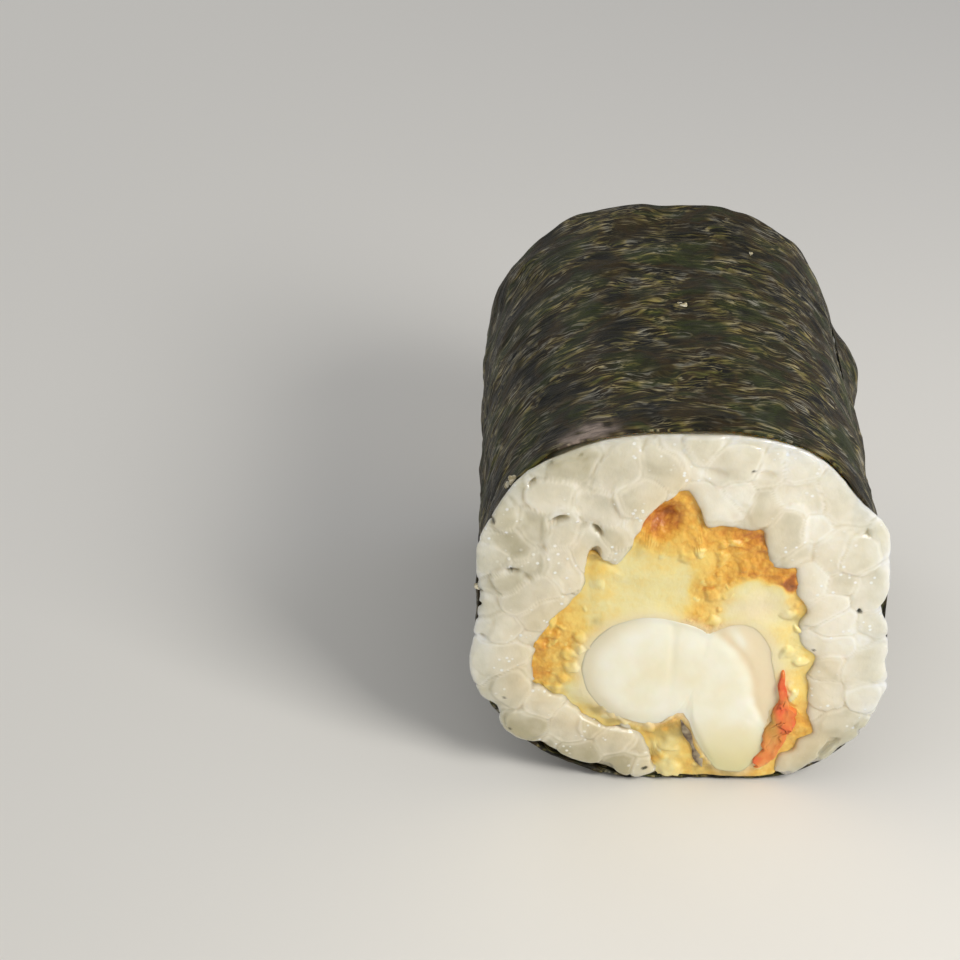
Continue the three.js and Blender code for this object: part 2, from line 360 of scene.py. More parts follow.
def filling_border(direction, y):
    """Distance to the ragged border, with noise of 0.3 mm, held inside the nori where the filling
    reaches it. Towards the far cut more noise makes it another border."""
    reach = listed(FILLING_BORDER, turned(direction, y))
    turn = np.radians(direction)
    place = np.stack([reach * np.cos(turn), y / 6 + 0 * turn, reach * np.sin(turn)], -1)
    reach = reach + 0.3 * noise(place / 1.4) + 0.6 * noise(place / 3.5 + 4) * smooth(y, 0, 9)
    return np.minimum(reach, rice_rim(direction, y) - THIN_RICE)


# %% [markdown]
# ## Materials: nodes and stains
#
# Every finish is a small graph of nodes. One function turns a hex colour, as a paint chart gives
# it, into the linear values that the renderer adds up, and one function adds a node with its
# settings and links. A finish starts from a Principled shader with the values of the real stuff.
# Its colour is then stained where the mesh says so, as oil or juice stains food.

# %% Colours, nodes and a first shader
def linear(code):
    """A hex sRGB colour as linear red, green, blue and alpha."""
    shares = [int(code[k:k + 2], 16) / 255 for k in (1, 3, 5)]
    return [s / 12.92 if s <= 0.04045 else ((s + 0.055) / 1.055) ** 2.4 for s in shares] + [1.0]


def feed(tree, made, **given):
    """Sets a node up. A keyword in lower case is one of the node's own settings. Any other is an
    input, which takes a value or another node's output. It is the socket's name with _ for a
    space, or _ and the socket's number, counted from 0."""
    for key, value in given.items():
        place = int(key[1:]) if key[1:].isdigit() else key.replace("_", " ")
        if key[0].islower():
            setattr(made, key, value)
        elif isinstance(value, bpy.types.NodeSocket):
            tree.links.new(value, made.inputs[place])
        else:
            made.inputs[place].default_value = value


def node(tree, kind, out=0, stops=(), **given):
    """Adds a node and returns one of its outputs, by number or name. stops are the places, from 0
    to 1, and the hex colours of a colour ramp."""
    made = tree.nodes.new("ShaderNode" + kind)
    feed(tree, made, **given)
    if stops:
        band = made.color_ramp.elements
        while len(band) < len(stops):
            band.new(0.5)
        for element, (place, code) in zip(band, stops):
            element.position = place
            element.color = linear(code)
    return made.outputs[out]


def finish(name, **inputs):
    """A new material with a Principled shader, and its tree and shader."""
    material = bpy.data.materials.new(name)
    material.use_nodes = True
    tree = material.node_tree
    shader = tree.nodes["Principled BSDF"]
    feed(tree, shader, **inputs)
    return material, tree, shader


def stained(tree, colour, *stains):
    """A colour with stains over it, each a name, a share and a hex colour. A stain is as strong as
    its share of the number that the mesh holds under its name."""
    for name, share, code in stains:
        amount = node(tree, "Attribute", "Fac", attribute_name=name)
        amount = node(tree, "Math", operation="MULTIPLY", _0=amount, _1=share)
        colour = node(tree, "Mix", 2, data_type="RGBA", Factor=amount, _6=colour, _7=linear(code))
    return colour


def dress(piece, material, slot, *replaced):
    """Gives a finished piece its material, and hides the imported nodes that it stands for. slot is not
    used.
    """
    piece.data.materials.append(material)
    if replaced:
        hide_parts(*replaced)
    print(f"{piece.name}: {material.name}, {len(material.node_tree.nodes)} nodes")


# %% [markdown]
# ## Rice
#
# The rice is Japanese short-grain rice, cooked and pressed, so the grains stick together, bulge
# against each other and leave only small dark nooks. Where the knife went through they are cut
# flat. A height map couldn't give the rounded grains at the rim, so real grains are packed.
#
# Packing is a small simulation. Each grain is a capsule, a straight part with round ends. Grains
# start at random places in a slab behind the cut. Then, step by step, each pair that overlaps is
# pushed apart, and each grain that leaves the space between nori and filling is pushed back.

# %% How big the grains are
GRAIN_LENGTH = 5.4  # mm, cooked short-grain rice
GRAIN_WIDTH = 2.75
SETTLED_GIRTH = 1.12  # mm, the radius that keeps clear of neighbours; the rest presses into them
STRAIGHT = GRAIN_LENGTH / 2 - GRAIN_WIDTH / 2  # half of the straight part
SLAB = 5.5  # mm, how deep behind a cut the grains are packed
PACKED = 0.72  # share of the slab that settled capsules fill
FIELD = 40  # mm, the side of the square in which grains are scattered
SETTLING_STEPS = 120


def room_to_move(points):
    """How far places lie inside the rice: from its outer edge, and from the filling."""
    direction, distance = polar(points[..., 0], points[..., 2])
    y = points[..., 1]
    return rice_rim(direction, y) - distance, distance - filling_border(direction, y)


def scattered(side, rng):
    """Random grains in the slab behind one cut: middles and unit axes. The number of grains is
    the slab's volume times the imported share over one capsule's volume."""
    tries = 40000
    x, z = rng.uniform(-FIELD / 2, FIELD / 2, tries), rng.uniform(-2, FIELD - 2, tries)
    depth = rng.uniform(-0.2, SLAB, tries)
    middles = np.stack([x, side * (RICE_END - depth), z], -1)
    outer, inner = room_to_move(middles)
    area = FIELD**2 * ((outer > 0) & (inner > 0)).mean()
    capsule = math.pi * SETTLED_GIRTH**2 * (2 * STRAIGHT + 4 / 3 * SETTLED_GIRTH)
    count = round(area * (SLAB + 0.4) * PACKED / capsule)
    middles = middles[(outer > 0.5 * SETTLED_GIRTH) & (inner > 0)][:count]
    axes = rng.normal(size=(len(middles), 3)) * (1, 0.6, 1)
    return middles, axes / np.linalg.norm(axes, axis=1, keepdims=True)


def pushes(middles, axes):
    """What the neighbours do to each grain. On a pair's axes, the two nearest places are found by
    sliding each along its own axis towards the other three times. Where they are nearer than two
    girths, each grain moves half the overlap away, and turns if it was pushed off its middle."""
    away = middles[None] - middles[:, None]
    along = np.einsum("ijk,ik->ij", away, axes)
    back = -np.einsum("ijk,jk->ij", away, axes)
    angle = axes @ axes.T
    there = np.zeros_like(along)
    for _ in range(3):
        here = np.clip(along + there * angle, -STRAIGHT, STRAIGHT)
        there = np.clip(back + here * angle, -STRAIGHT, STRAIGHT)
    gap = away + there[..., None] * axes[None] - here[..., None] * axes[:, None]
    distance = np.linalg.norm(gap, axis=-1) + 1e-6
    np.fill_diagonal(distance, 9.0)
    overlap = np.maximum(2 * SETTLED_GIRTH - distance, 0)
    push = -0.5 * (overlap / distance)[..., None] * gap
    return push.sum(1), (push * (here / STRAIGHT)[..., None]).sum(1)


def settled(side, rng):
    """The grains of one cut, once they have pushed each other into place: middles, axes and
    girths."""
    middles, axes = scattered(side, rng)
    for _ in range(SETTLING_STEPS):
        move, turn = pushes(middles, axes)
        for end in (-1, 1):
            tip = middles + end * STRAIGHT * axes
            outer, inner = room_to_move(tip)
            outwards = (tip - [AXIS[0], 0, AXIS[1]]) * (1, 0, 1)
            outwards /= np.linalg.norm(outwards, axis=1, keepdims=True)
            back_in = np.minimum(outer - SETTLED_GIRTH, 0) - np.minimum(inner - 0.3 * SETTLED_GIRTH, 0)
            move += 0.5 * outwards * back_in[:, None]
            turn += end * 0.5 * outwards * back_in[:, None]
        middles = middles + 0.35 * move
        axes = axes + 0.25 * turn / STRAIGHT
        axes /= np.linalg.norm(axes, axis=1, keepdims=True)
        depth = np.clip(RICE_END - side * middles[:, 1], 0.1, SLAB)
        middles[:, 1] = side * (RICE_END - depth)
    outer, inner = room_to_move(middles)
    kept = (outer > 0.2) & (inner > -0.3)
    return middles[kept], axes[kept], GRAIN_WIDTH / 2 * rng.uniform(1.2, 1.5, kept.sum())


rng = np.random.default_rng(11)
packed = {side: settled(side, rng) for side in (-1, 1)}
print("grains packed at each cut:", [len(grains[0]) for grains in packed.values()])

# %% [markdown]
# The surface is then found like shrink-wrap. A fine net of points starts outside the roll, over
# the cut and round its rim, and every point slides straight in until it meets a grain. How far it
# may safely slide each time is its distance from the nearest grain's skin. The knife is part of
# that distance: each grain ends at its own plane, set back or tilted a little, because the blade
# drags each grain differently. A groove is pressed where two grains touch.

# %% Distance from the rice
KNIFE_ROUNDING = 0.14  # mm, on the cut edge of a grain
GROOVE_DEPTH, GROOVE_WIDTH = 0.055, 0.12  # mm
GRAINS_NEAR = 9


def skins(points, middles, axes, girths):
    """Distance from points to grains' skins: to the nearest place on a grain's axis, less its
    girth there, which is an eighth less at its ends."""
    away = points - middles
    along = np.clip((away * axes).sum(-1), -STRAIGHT, STRAIGHT)
    off = np.linalg.norm(away - along[..., None] * axes, axis=-1)
    return off - girths * (1 - 0.125 * (along / STRAIGHT) ** 2)


def near_grains(points, grains):
    """The numbers of the nearest grains of each point, nearest first."""
    every = np.stack([skins(points, *grain) for grain in zip(*grains)])
    near = np.argpartition(every, GRAINS_NEAR, axis=0)[:GRAINS_NEAR]
    order = np.argsort(np.take_along_axis(every, near, 0), 0)
    return np.take_along_axis(near, order, 0).T


PITS = [  # X, Z, half length, half width, turn in degrees and depth of nooks at the shown cut
    (-10.4, 28.2, 0.9, 0.3, 25, 0.8), (-7.2, 27.2, 0.6, 0.24, -45, 0.8),
    (-8.0, 27.7, 1.2, 0.6, 10, 0.3), (-7.3, 24.7, 0.9, 0.5, 80, 0.7), (-14.0, 23.2, 0.6, 0.16, 0, 0.6),
    (-15.7, 28.1, 0.35, 0.2, 60, 0.6), (1.8, 32.9, 1.3, 0.5, -8, 0.36), (6.1, 32.7, 0.9, 0.4, 0, 0.36),
    (4.4, 29.5, 0.7, 0.3, 0, 0.3), (14.7, 19.2, 0.2, 0.35, 0, 0.5), (-12.8, 22.5, 0.5, 0.3, -40, 0.3),
    (-5.5, 6.6, 1.3, 0.2, -20, 0.5)]


def paste_depth(points):
    """How deep the starchy paste between the grains lies behind the cut: 0.24 mm, and in a few
    spots, where noise is high, pits of up to 0.64 mm."""
    return 0.24 + 0.4 * smooth(noise(points / 1.7), 0.48, 0.66)


BORDER_SHIFT = 0.5  # mm, where the noise that bends the borders is 1


def local_shape(points):
    """What varies over the rice: the paste's depth, a sideways shift that bends the borders
    between grains, and how open those borders are, from 0.2 to 1.7."""
    shift = BORDER_SHIFT * np.stack([noise(points / 2.2), 0 * points[:, 0], noise(points / 2.2 + 9)], -1)
    return paste_depth(points), shift, 0.2 + 1.5 * smooth(noise(points / 3.5 + 5), -0.3, 0.35)


RIM_NOTCH = 0.3  # mm, how deep a border between two grains cuts into the free rim
ABOVE_BOARD = 0.06  # mm that the rice ends above the board


def rice_distance(points, near, side, grains, planes, local):
    """Distance from points to the rice. A grain's distance is the larger of its skin's and its
    knife plane's; the rice's is the nearest grain's, with a groove where the second is as near.
    Between the grains lies paste. The rice ends softly at its rim, where each border between
    grains is a notch, and at the filling, and the pits are cut out."""
    paste, shift, openness = local
    middles, axes, girths = (part[near] for part in grains)
    bent = points + shift
    own = skins(bent[:, None], middles, axes, girths)
    away = bent[:, None] - middles
    offset, tilt_x, tilt_z = np.moveaxis(planes[near], -1, 0)
    plane = RICE_END - offset + tilt_x * away[..., 0] + tilt_z * away[..., 2]
    out = side * points[:, 1]
    nearest = np.sort(own, 1)[:, :2]
    between = nearest[:, 1] - nearest[:, 0]
    distance = soft_max(own, out[:, None] - plane, KNIFE_ROUNDING).min(1)
    distance = np.minimum(distance, out - RICE_END + paste)
    distance += GROOVE_DEPTH * openness * np.exp(-between / GROOVE_WIDTH)
    outer, inner = room_to_move(points)
    free = smooth(-points[:, 2], -28, -22) * smooth(out, NORI_END, NORI_END + 0.4)
    notch = RIM_NOTCH * free * np.exp(-between / 0.4)
    distance = soft_max(distance, notch - outer, 0.1 + 0.4 * free)
    for pit_x, pit_z, length, width, turn, depth in PITS if side < 0 else ():
        off_x, off_z = points[:, 0] - pit_x, points[:, 2] - pit_z
        c, s = np.cos(np.radians(turn)), np.sin(np.radians(turn))
        along, across = (off_x * c + off_z * s) / length, (off_z * c - off_x * s) / width
        share = np.sqrt(along**2 + across**2 + ((out - RICE_END) / depth) ** 2)
        distance = soft_max(distance, (1 - share) * width, 0.06)
    return np.maximum(soft_max(distance, 0.1 - inner, 0.6), ABOVE_BOARD - points[:, 2])


def slid_in(starts, ways, reach, distance_at, steps=26):
    """Each point after it slid along its way until it met the surface, or as far as its reach."""
    gone = np.zeros(len(starts))
    for _ in range(steps):
        step = np.clip(0.7 * distance_at(starts + gone[:, None] * ways), -0.15, 0.15)
        gone = np.minimum(gone + step, reach)
    return starts + gone[:, None] * ways


# %% [markdown]
# The net's columns go round the roll, and its rows run from inside the filling over the cut, round
# the rim and a little way under the nori.

# %% The rice's surface
NET_COLUMNS = 660
FACE_ROWS, RIM_ROWS, UNDER_ROWS = 50, 10, 6  # over the cut, round the rim and under the nori
HOVER = 0.5  # mm that the net starts outside the rice
RIM_BEND = 1.5  # mm, the radius of the net's own bend over the rim
FACE_REACH, RIM_REACH = HOVER + 1.9, HOVER + 0.9  # mm that a point may slide
HIDDEN_REACH = 3.4  # mm, under the nori and in the rows that the filling hides
HIDDEN_ROWS = 8


def net(side):
    """Starts, ways and reaches of one cut's points. Over the cut they head along the roll, on the
    bend they turn and under the nori they head for the axis."""
    direction = np.linspace(0, 360, NET_COLUMNS, endpoint=False)
    y = np.full(NET_COLUMNS, side * RICE_END)
    rim = rice_rim(direction, y) + HOVER
    inner = np.minimum(filling_border(direction, y) - 1.0, rim - RIM_BEND - 1.0)
    over = np.linspace(0, 1, FACE_ROWS)[:, None]
    bend = np.radians(np.linspace(0, 90, RIM_ROWS + 2)[1:-1])[:, None]
    under = np.linspace(0, 1, UNDER_ROWS)[:, None]
    flat = rim - RIM_BEND
    top = RICE_END + HOVER
    radius = np.concatenate([
        inner + (flat - inner) * over, flat + RIM_BEND * np.sin(bend), rim + 0 * under])
    along = np.concatenate([
        top + 0 * over, top - RIM_BEND + RIM_BEND * np.cos(bend),
        top - RIM_BEND - (top - RIM_BEND - NORI_END + 1.5) * under]) + 0 * radius
    lean = np.concatenate([0 * over, bend, np.pi / 2 + 0 * under]) + 0 * radius
    reach = np.where(lean > 0, RIM_REACH, FACE_REACH) + 0 * radius
    reach[-UNDER_ROWS:] = HIDDEN_REACH
    reach[:HIDDEN_ROWS] = HIDDEN_REACH
    right, up = right_and_up(direction)
    starts = np.stack([AXIS[0] + radius * right, side * along, AXIS[1] + radius * up], -1)
    ways = -np.stack([np.sin(lean) * right, side * np.cos(lean), np.sin(lean) * up], -1)
    return starts, ways, reach


NORI_FLECKS = [  # X, Z and radius in mm of crumbs of nori that the knife left on the cut
    (14.7, 19.2, 0.2), (11.3, 15.0, 0.1), (-2.4, 1.85, 0.14), (-2.2, 1.95, 0.14), (-14.6, 9.7, 0.08),
    (-14.1, 6.2, 0.1), (5.0, 33.1, 0.1), (-15.6, 28.0, 0.16), (-14.2, 23.2, 0.1), (-16.6, 20.9, 0.15)]


def rice_rings(side, grains, rng):
    """One cut's rings, and at each point the tone of its grain with painted shade to the left and
    towards the bottom, how much painted shade it gets in a nook or groove, how pale it is just
    inside its grain's border, whether a fleck lies there and how near the filling it is. At a
    groove the tones of the two grains meet."""
    planes = rng.normal(0, 1, (len(grains[0]), 3)) * (0.07, 0.02, 0.02) + (0.1, 0, 0)
    planes[:, 0] = np.clip(planes[:, 0], -0.02, 0.3)
    tones = rng.uniform(0, 1, len(grains[0]))
    starts, ways, reach = net(side)
    shape = starts.shape[:2]
    starts, ways, reach = starts.reshape(-1, 3), ways.reshape(-1, 3), reach.ravel()
    near = near_grains(starts + ways * (HOVER + 0.1), grains)
    local = local_shape(starts)
    points = slid_in(
        starts, ways, reach, lambda p: rice_distance(p, near, side, grains, planes, local))
    points = points + 0.04 * noise(points / 0.8)[:, None] * ways
    own = skins((points + local[1])[:, None], *(part[near] for part in grains))
    order = np.argsort(own, 1)[:, :2]
    first, second = np.take_along_axis(own, order, 1).T
    between = second - first
    mixed = 0.5 * np.exp(-between / 0.2)
    tone_and_shade = tones[np.take_along_axis(near, order, 1)]
    tone_and_shade = tone_and_shade[:, 0] * (1 - mixed) + tone_and_shade[:, 1] * mixed
    depth = RICE_END - side * points[:, 1]
    outer, inner = room_to_move(points)
    # Painted shade: nook darkens the rice in deep nooks and along the grooves between grains.
    nook = smooth(depth, 0.4, 1.0) * smooth(outer, 0.6, 1.2)
    nook += 0.16 * local[2] * np.exp(-between / 0.08)
    x, _, z = points.T
    # Painted shade: the tone falls to the left and towards the bottom, as if in shade; on the left it is
    # partly the rice's own greyer tone.
    tone_and_shade = 0.58 * tone_and_shade + 0.4 * smooth(x, -17, 13) - 0.4 * smooth(-z, -12, -3)
    fleck = np.zeros(len(points))
    for spot_x, spot_z, radius in NORI_FLECKS if side < 0 else ():
        fleck = np.maximum(fleck, smooth(radius + 0.1 - apart(x, z, spot_x, spot_z), 0, 0.14))
    values = {"tone_and_shade": tone_and_shade, "nook": np.clip(nook, 0, 1), "pale": hump(between, 0.3, 0.22),
              "fleck": fleck, "warmth": hump(np.clip(inner, 0, 99), 0, 2.6)}
    return points.reshape(*shape, 3), {key: value.reshape(shape) for key, value in values.items()}


front_rings, front_values = rice_rings(-1, packed[-1], rng)
back_rings, back_values = rice_rings(1, packed[1], rng)
rice_points, rice_cells = capped(np.concatenate([front_rings, back_rings[::-1]]))
rice_values = {
    key: np.append(np.concatenate([front_values[key], back_values[key][::-1]]).ravel(), (0, 0))
    for key in front_values}
rice = make_piece("pressed_rice", rice_points, rice_cells, rice_values)

# %% [markdown]
# Cooked rice is translucent and damp. Light soaks in and comes out around the grain, which
# subsurface scattering imitates, and a coat gives the film of starchy water. Here and there it
# stands in tiny beads, which are bumps in the coat with painted highlights, white spots in the
# colour. Grains differ in tone, the nooks between them get painted shade, the rice is painted
# darker to the left and towards the bottom as shade, and next to the filling it takes on its oil.

# %% Finish: cooked rice
def cooked_rice():
    """Clouded grains that are pale along their borders, stained, with beads of water on top whose glints
    are painted as white spots.
    """
    material, tree, shader = finish(
        "cooked short-grain rice", Roughness=0.3, IOR=1.4, Subsurface_Weight=0.8,
        Subsurface_Radius=(1.2, 1.05, 0.8), Subsurface_Scale=2.2 * MM,
        Coat_Weight=0.9, Coat_Roughness=0.06)
    where = node(tree, "TexCoord", "Object")
    cloud = node(tree, "TexNoise", Vector=where, Scale=1 / (2.2 * MM), Detail=2.0)
    shade = node(tree, "Math", operation="MULTIPLY", _0=cloud, _1=0.55)
    for name, share in (("tone_and_shade", 0.6), ("pale", 0.14)):
        value = node(tree, "Attribute", "Fac", attribute_name=name)
        shade = node(tree, "Math", operation="MULTIPLY_ADD", _0=value, _1=share, _2=shade)
    colour = node(tree, "ValToRGB", _0=shade, stops=[
        (0.2, "#B3AB8C"), (0.42, "#D2CBB3"), (0.64, "#E9E2CE"), (0.95, "#FBF7EC")])
    # The nook stain is painted shade.
    colour = stained(tree, colour, ("warmth", 0.5, "#F0D9AE"), ("nook", 0.8, "#A09360"),
                     ("fleck", 1.0, "#3A3A22"))
    # Painted highlights: beads of water, each a white spot in the colour and a bump in the coat.
    bead = node(tree, "TexVoronoi", "Distance", Vector=where, Scale=1 / (0.75 * MM))
    bead = node(tree, "MapRange", Value=bead, From_Min=0.24, From_Max=0.14)
    damp = node(tree, "TexNoise", Vector=where, Scale=1 / (3.0 * MM), Detail=2.0)
    damp = node(tree, "MapRange", Value=damp, From_Min=0.5, From_Max=0.6)
    bead = node(tree, "Math", operation="MULTIPLY", _0=bead, _1=damp)
    painted_glint = node(tree, "Math", operation="MULTIPLY", _0=bead, _1=0.8)
    colour = node(tree, "Mix", 2, data_type="RGBA", Factor=painted_glint, _6=colour, _7=linear("#FFFEFA"))
    fine = node(tree, "TexNoise", Vector=where, Scale=1 / (0.45 * MM), Detail=3.0, Roughness=0.6)
    skin = node(tree, "Bump", Height=fine, Strength=0.5, Distance=0.1 * MM)
    beads = node(tree, "Bump", Height=bead, Strength=1.0, Distance=0.16 * MM, Normal=skin)
    feed(tree, shader, Base_Color=colour, Normal=skin, Coat_Normal=beads)
    return material


dress(rice, cooked_rice(), "rice", "rice")


# %% [markdown]
# ## A plug through the roll
#
# The batter, the shrimp and the thin pieces beside it all run from one cut to the other. Each is a
# plug: rings that grow from the middle of one cut to its rim, run along the roll and shrink again
# at the other cut.

# %% Rings of a plug
def plug(place, end, face_rings, columns, side_rings, relief=None, round_edge=0.5):
    """Rings of a piece that runs through the roll. place(share, direction, y) gives X and Z, with
    share from 0 at the centre to 1 at the rim. relief(x, z, y) is how deep the cut face lies
    below its plane. Near the rim the face curves away like a quarter circle of round_edge."""
    share = np.linspace(0, 1, face_rings + 1)[1:] ** 0.9
    sides = np.linspace(-1, 1, side_rings + 2)[1:-1]
    shares = np.concatenate([share, np.ones(side_rings), share[::-1]])
    along = np.concatenate([-np.ones(face_rings), sides, np.ones(face_rings)])
    direction = np.linspace(0, 360, columns, endpoint=False)
    share_grid, direction_grid = np.meshgrid(shares, direction, indexing="ij")
    y = np.repeat((along * (end - round_edge))[:, None], columns, 1)
    x, z = place(share_grid, direction_grid, y)
    rim_x, rim_z = place(np.ones_like(share_grid), direction_grid, y)
    to_rim = np.minimum(np.hypot(x - rim_x, z - rim_z) / round_edge, 1)
    drop = round_edge * (1 - np.sqrt(1 - (1 - to_rim) ** 2))
    on_face = np.repeat((np.abs(along) == 1)[:, None], columns, 1)
    depth = drop + (relief(x, z, y) if relief else 0)
    y = np.where(on_face, np.sign(y) * (end - depth), y)
    return np.stack([x, y, z], -1)


def round_place(edge, centre=AXIS):
    """place() for a plug whose outline is an edge about a centre."""
    def place(share, direction, y):
        reach = share * edge(direction, y)
        turn = np.radians(direction)
        return centre[0] + reach * np.cos(turn), centre[1] + reach * np.sin(turn)
    return place


# %% [markdown]
# ## Nori
#
# Nori is seaweed dried on a mat like paper. Damp rice makes it shrink into fine wrinkles that run
# round the roll. The sheet is a strip wound once round, with its outer end lying over its inner
# one on the right. It is a grid: one way follows the sheet round, the other runs along the roll,
# and the wrinkles are ridged noise, stretched round the roll and warped so that they wander.

# %% The nori sheet
NORI_START, NORI_FLAP = -14.0, 392.0  # directions of its two ends, once round and more
NORI_THICKNESS = 0.24  # mm, damp
FLAP_LIFT = 0.9  # mm that the flap swells off the turn below it
FAR_LIFT = 1.0  # mm that it swells more towards the far cut
RICE_GAP, TURN_GAP = 0.04, 0.06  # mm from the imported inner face, and between the two turns
EDGE_PAST = 0.45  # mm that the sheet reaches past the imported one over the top, up to the cut
FRAYING = 0.12  # mm, how unevenly the sheet is cut at its two long edges
NORI_RADIUS = 17.0  # mm, at which the wound sheet is measured when it is laid flat
NORI_STEPS, OUTER_ROWS, INNER_ROWS = 420, 170, 64  # steps round it, and rows across each face
FLATTENED = 0.15  # share of the wrinkles that is left on the board
ON_BOARD = 1.0  # mm, up to where the sheet lies on the board


def wrinkles(around, y):
    """Height of the wrinkles in mm at a place on the flat sheet: broad swells, and ridges. A ridge
    is 1 - 2 |noise|, about four times as long round the roll as it is wide, on a sheet whose y is
    warped by noise. What would sink deep into the rice is cut off softly."""
    flat = np.stack([around, y, 0 * y], -1)
    warped = y + 1.2 * noise(flat / 9) + 0.5 * noise(flat / 3.4 + 4)
    height = (0.3 + 0.25 * smooth(y, 8, 19)) * noise(flat / 5 + 9)
    for length, width, strength in ((6.0, 1.6, 0.13), (3.4, 0.85, 0.08)):
        place = np.stack([around / length, warped / width, 0 * y + length], -1)
        height = height + strength * (1 - 2 * np.abs(noise(place)))
    return soft_max(height, -0.12, 0.15)


def nori_face(rows, outer):
    """One face of the sheet, for every step round the roll, and its places on the flat sheet.
    outer is 1 for the outer face and 0 for the inner one, which is a sheet's thickness further
    in. Over the inner end the sheet climbs by its own thickness and swells off it. Towards the
    loose edge, which wanders by a few degrees, the wrinkles fade and the sheet thins, and on the
    board they are pressed flat."""
    step, y = np.meshgrid(
        np.linspace(0, 1, NORI_STEPS), np.linspace(-NORI_END, NORI_END, rows), indexing="ij")
    wander = 1.5 * noise(np.stack([y / 7, 0 * y, 0 * y], -1))
    turn = NORI_START + (NORI_FLAP - NORI_START + wander) * step
    inner = nori_inside(turn, y) + flare(turn, y)
    tucked = inner + NORI_THICKNESS + TURN_GAP
    swell = smooth(turn, 336, 356) * (1 - 0.85 * smooth(turn, 374, NORI_FLAP - 1))
    on_top = tucked + swell * (FLAP_LIFT * smooth(y, -9, 5) + FAR_LIFT * smooth(y, 7, 19))
    inside = inner + (on_top - inner) * smooth(turn, 352 + NORI_START, 360 + NORI_START)
    around = np.radians(turn) * NORI_RADIUS
    fade = 1 - 0.8 * smooth(turn, NORI_FLAP - 8, NORI_FLAP)
    height = wrinkles(around, y) * fade
    y = np.where(y > 0, y * (1 - 0.03 * smooth(turn, 345, 375)), y)
    y = y * (1 + EDGE_PAST / NORI_END * flush(turn))
    right, up = right_and_up(turn)
    height = np.where(AXIS[1] + up * inside < ON_BOARD, FLATTENED * height, height)
    thick = NORI_THICKNESS * fade * (1 + 0.25 * noise(np.stack([around, y, 0 * y], -1) / 1.5))
    frayed = FRAYING * noise(np.stack([around / 1.3, 0 * y, 0 * y], -1))
    y = y + np.sign(y) * frayed * smooth(np.abs(y), NORI_END - 2, NORI_END)
    radius = inside + RICE_GAP + height + thick * outer
    z = np.maximum(AXIS[1] + radius * up, 0.02)
    return np.stack([AXIS[0] + radius * right, y, z], -1), np.stack([around, y], -1)


def starch_film(around, y):
    """Where the sheet is thin and the rice shows through, greyish pink, at the shown cut."""
    place = np.stack([around, y, 0 * y], -1)
    spot = hump(around, 33.2, 1.4) * hump(y, 0.5 - NORI_END, 0.9)
    return np.clip(1.3 * spot * (1 + 1.5 * noise(place / 0.7)), 0, 0.9)


# The outer face, then the inner one turned back, make one closed ring of columns across the sheet.
nori_rings, nori_flat = (
    np.concatenate([outer, inner[:, ::-1]], 1)
    for outer, inner in zip(nori_face(OUTER_ROWS, 1), nori_face(INNER_ROWS, 0)))
nori_points, nori_cells = capped(nori_rings)
around, across = np.append(nori_flat.reshape(-1, 2), np.zeros((2, 2)), 0).T
nori_sheet = make_piece("nori_sheet", nori_points, nori_cells, {
    "around": around, "across": across, "film": starch_film(around, across)})

# %% [markdown]
# Damp nori is nearly black: dark olive where the light comes through, brown where it is thick. Its
# surface is a satin, and along the wrinkles run pale olive dashes, painted highlights where light
# glints on the wrinkles, which are also a little glossier. The finish reads the place on the flat
# sheet, in millimetres, so that the dashes follow the wrinkles round the roll. A Scale of 0.3 there
# makes blobs of about 3 mm. Two sets of dashes lean two ways, on a sheet that noise has made wavy.

# %% Finish: damp nori
SHEEN_DASH_SETS = [  # lean in radians, scale round the roll and across it, and where a dash starts and is full
    (0.16, 0.6, 3.0, 0.53, 0.68), (-0.14, 0.9, 5.0, 0.54, 0.69)]


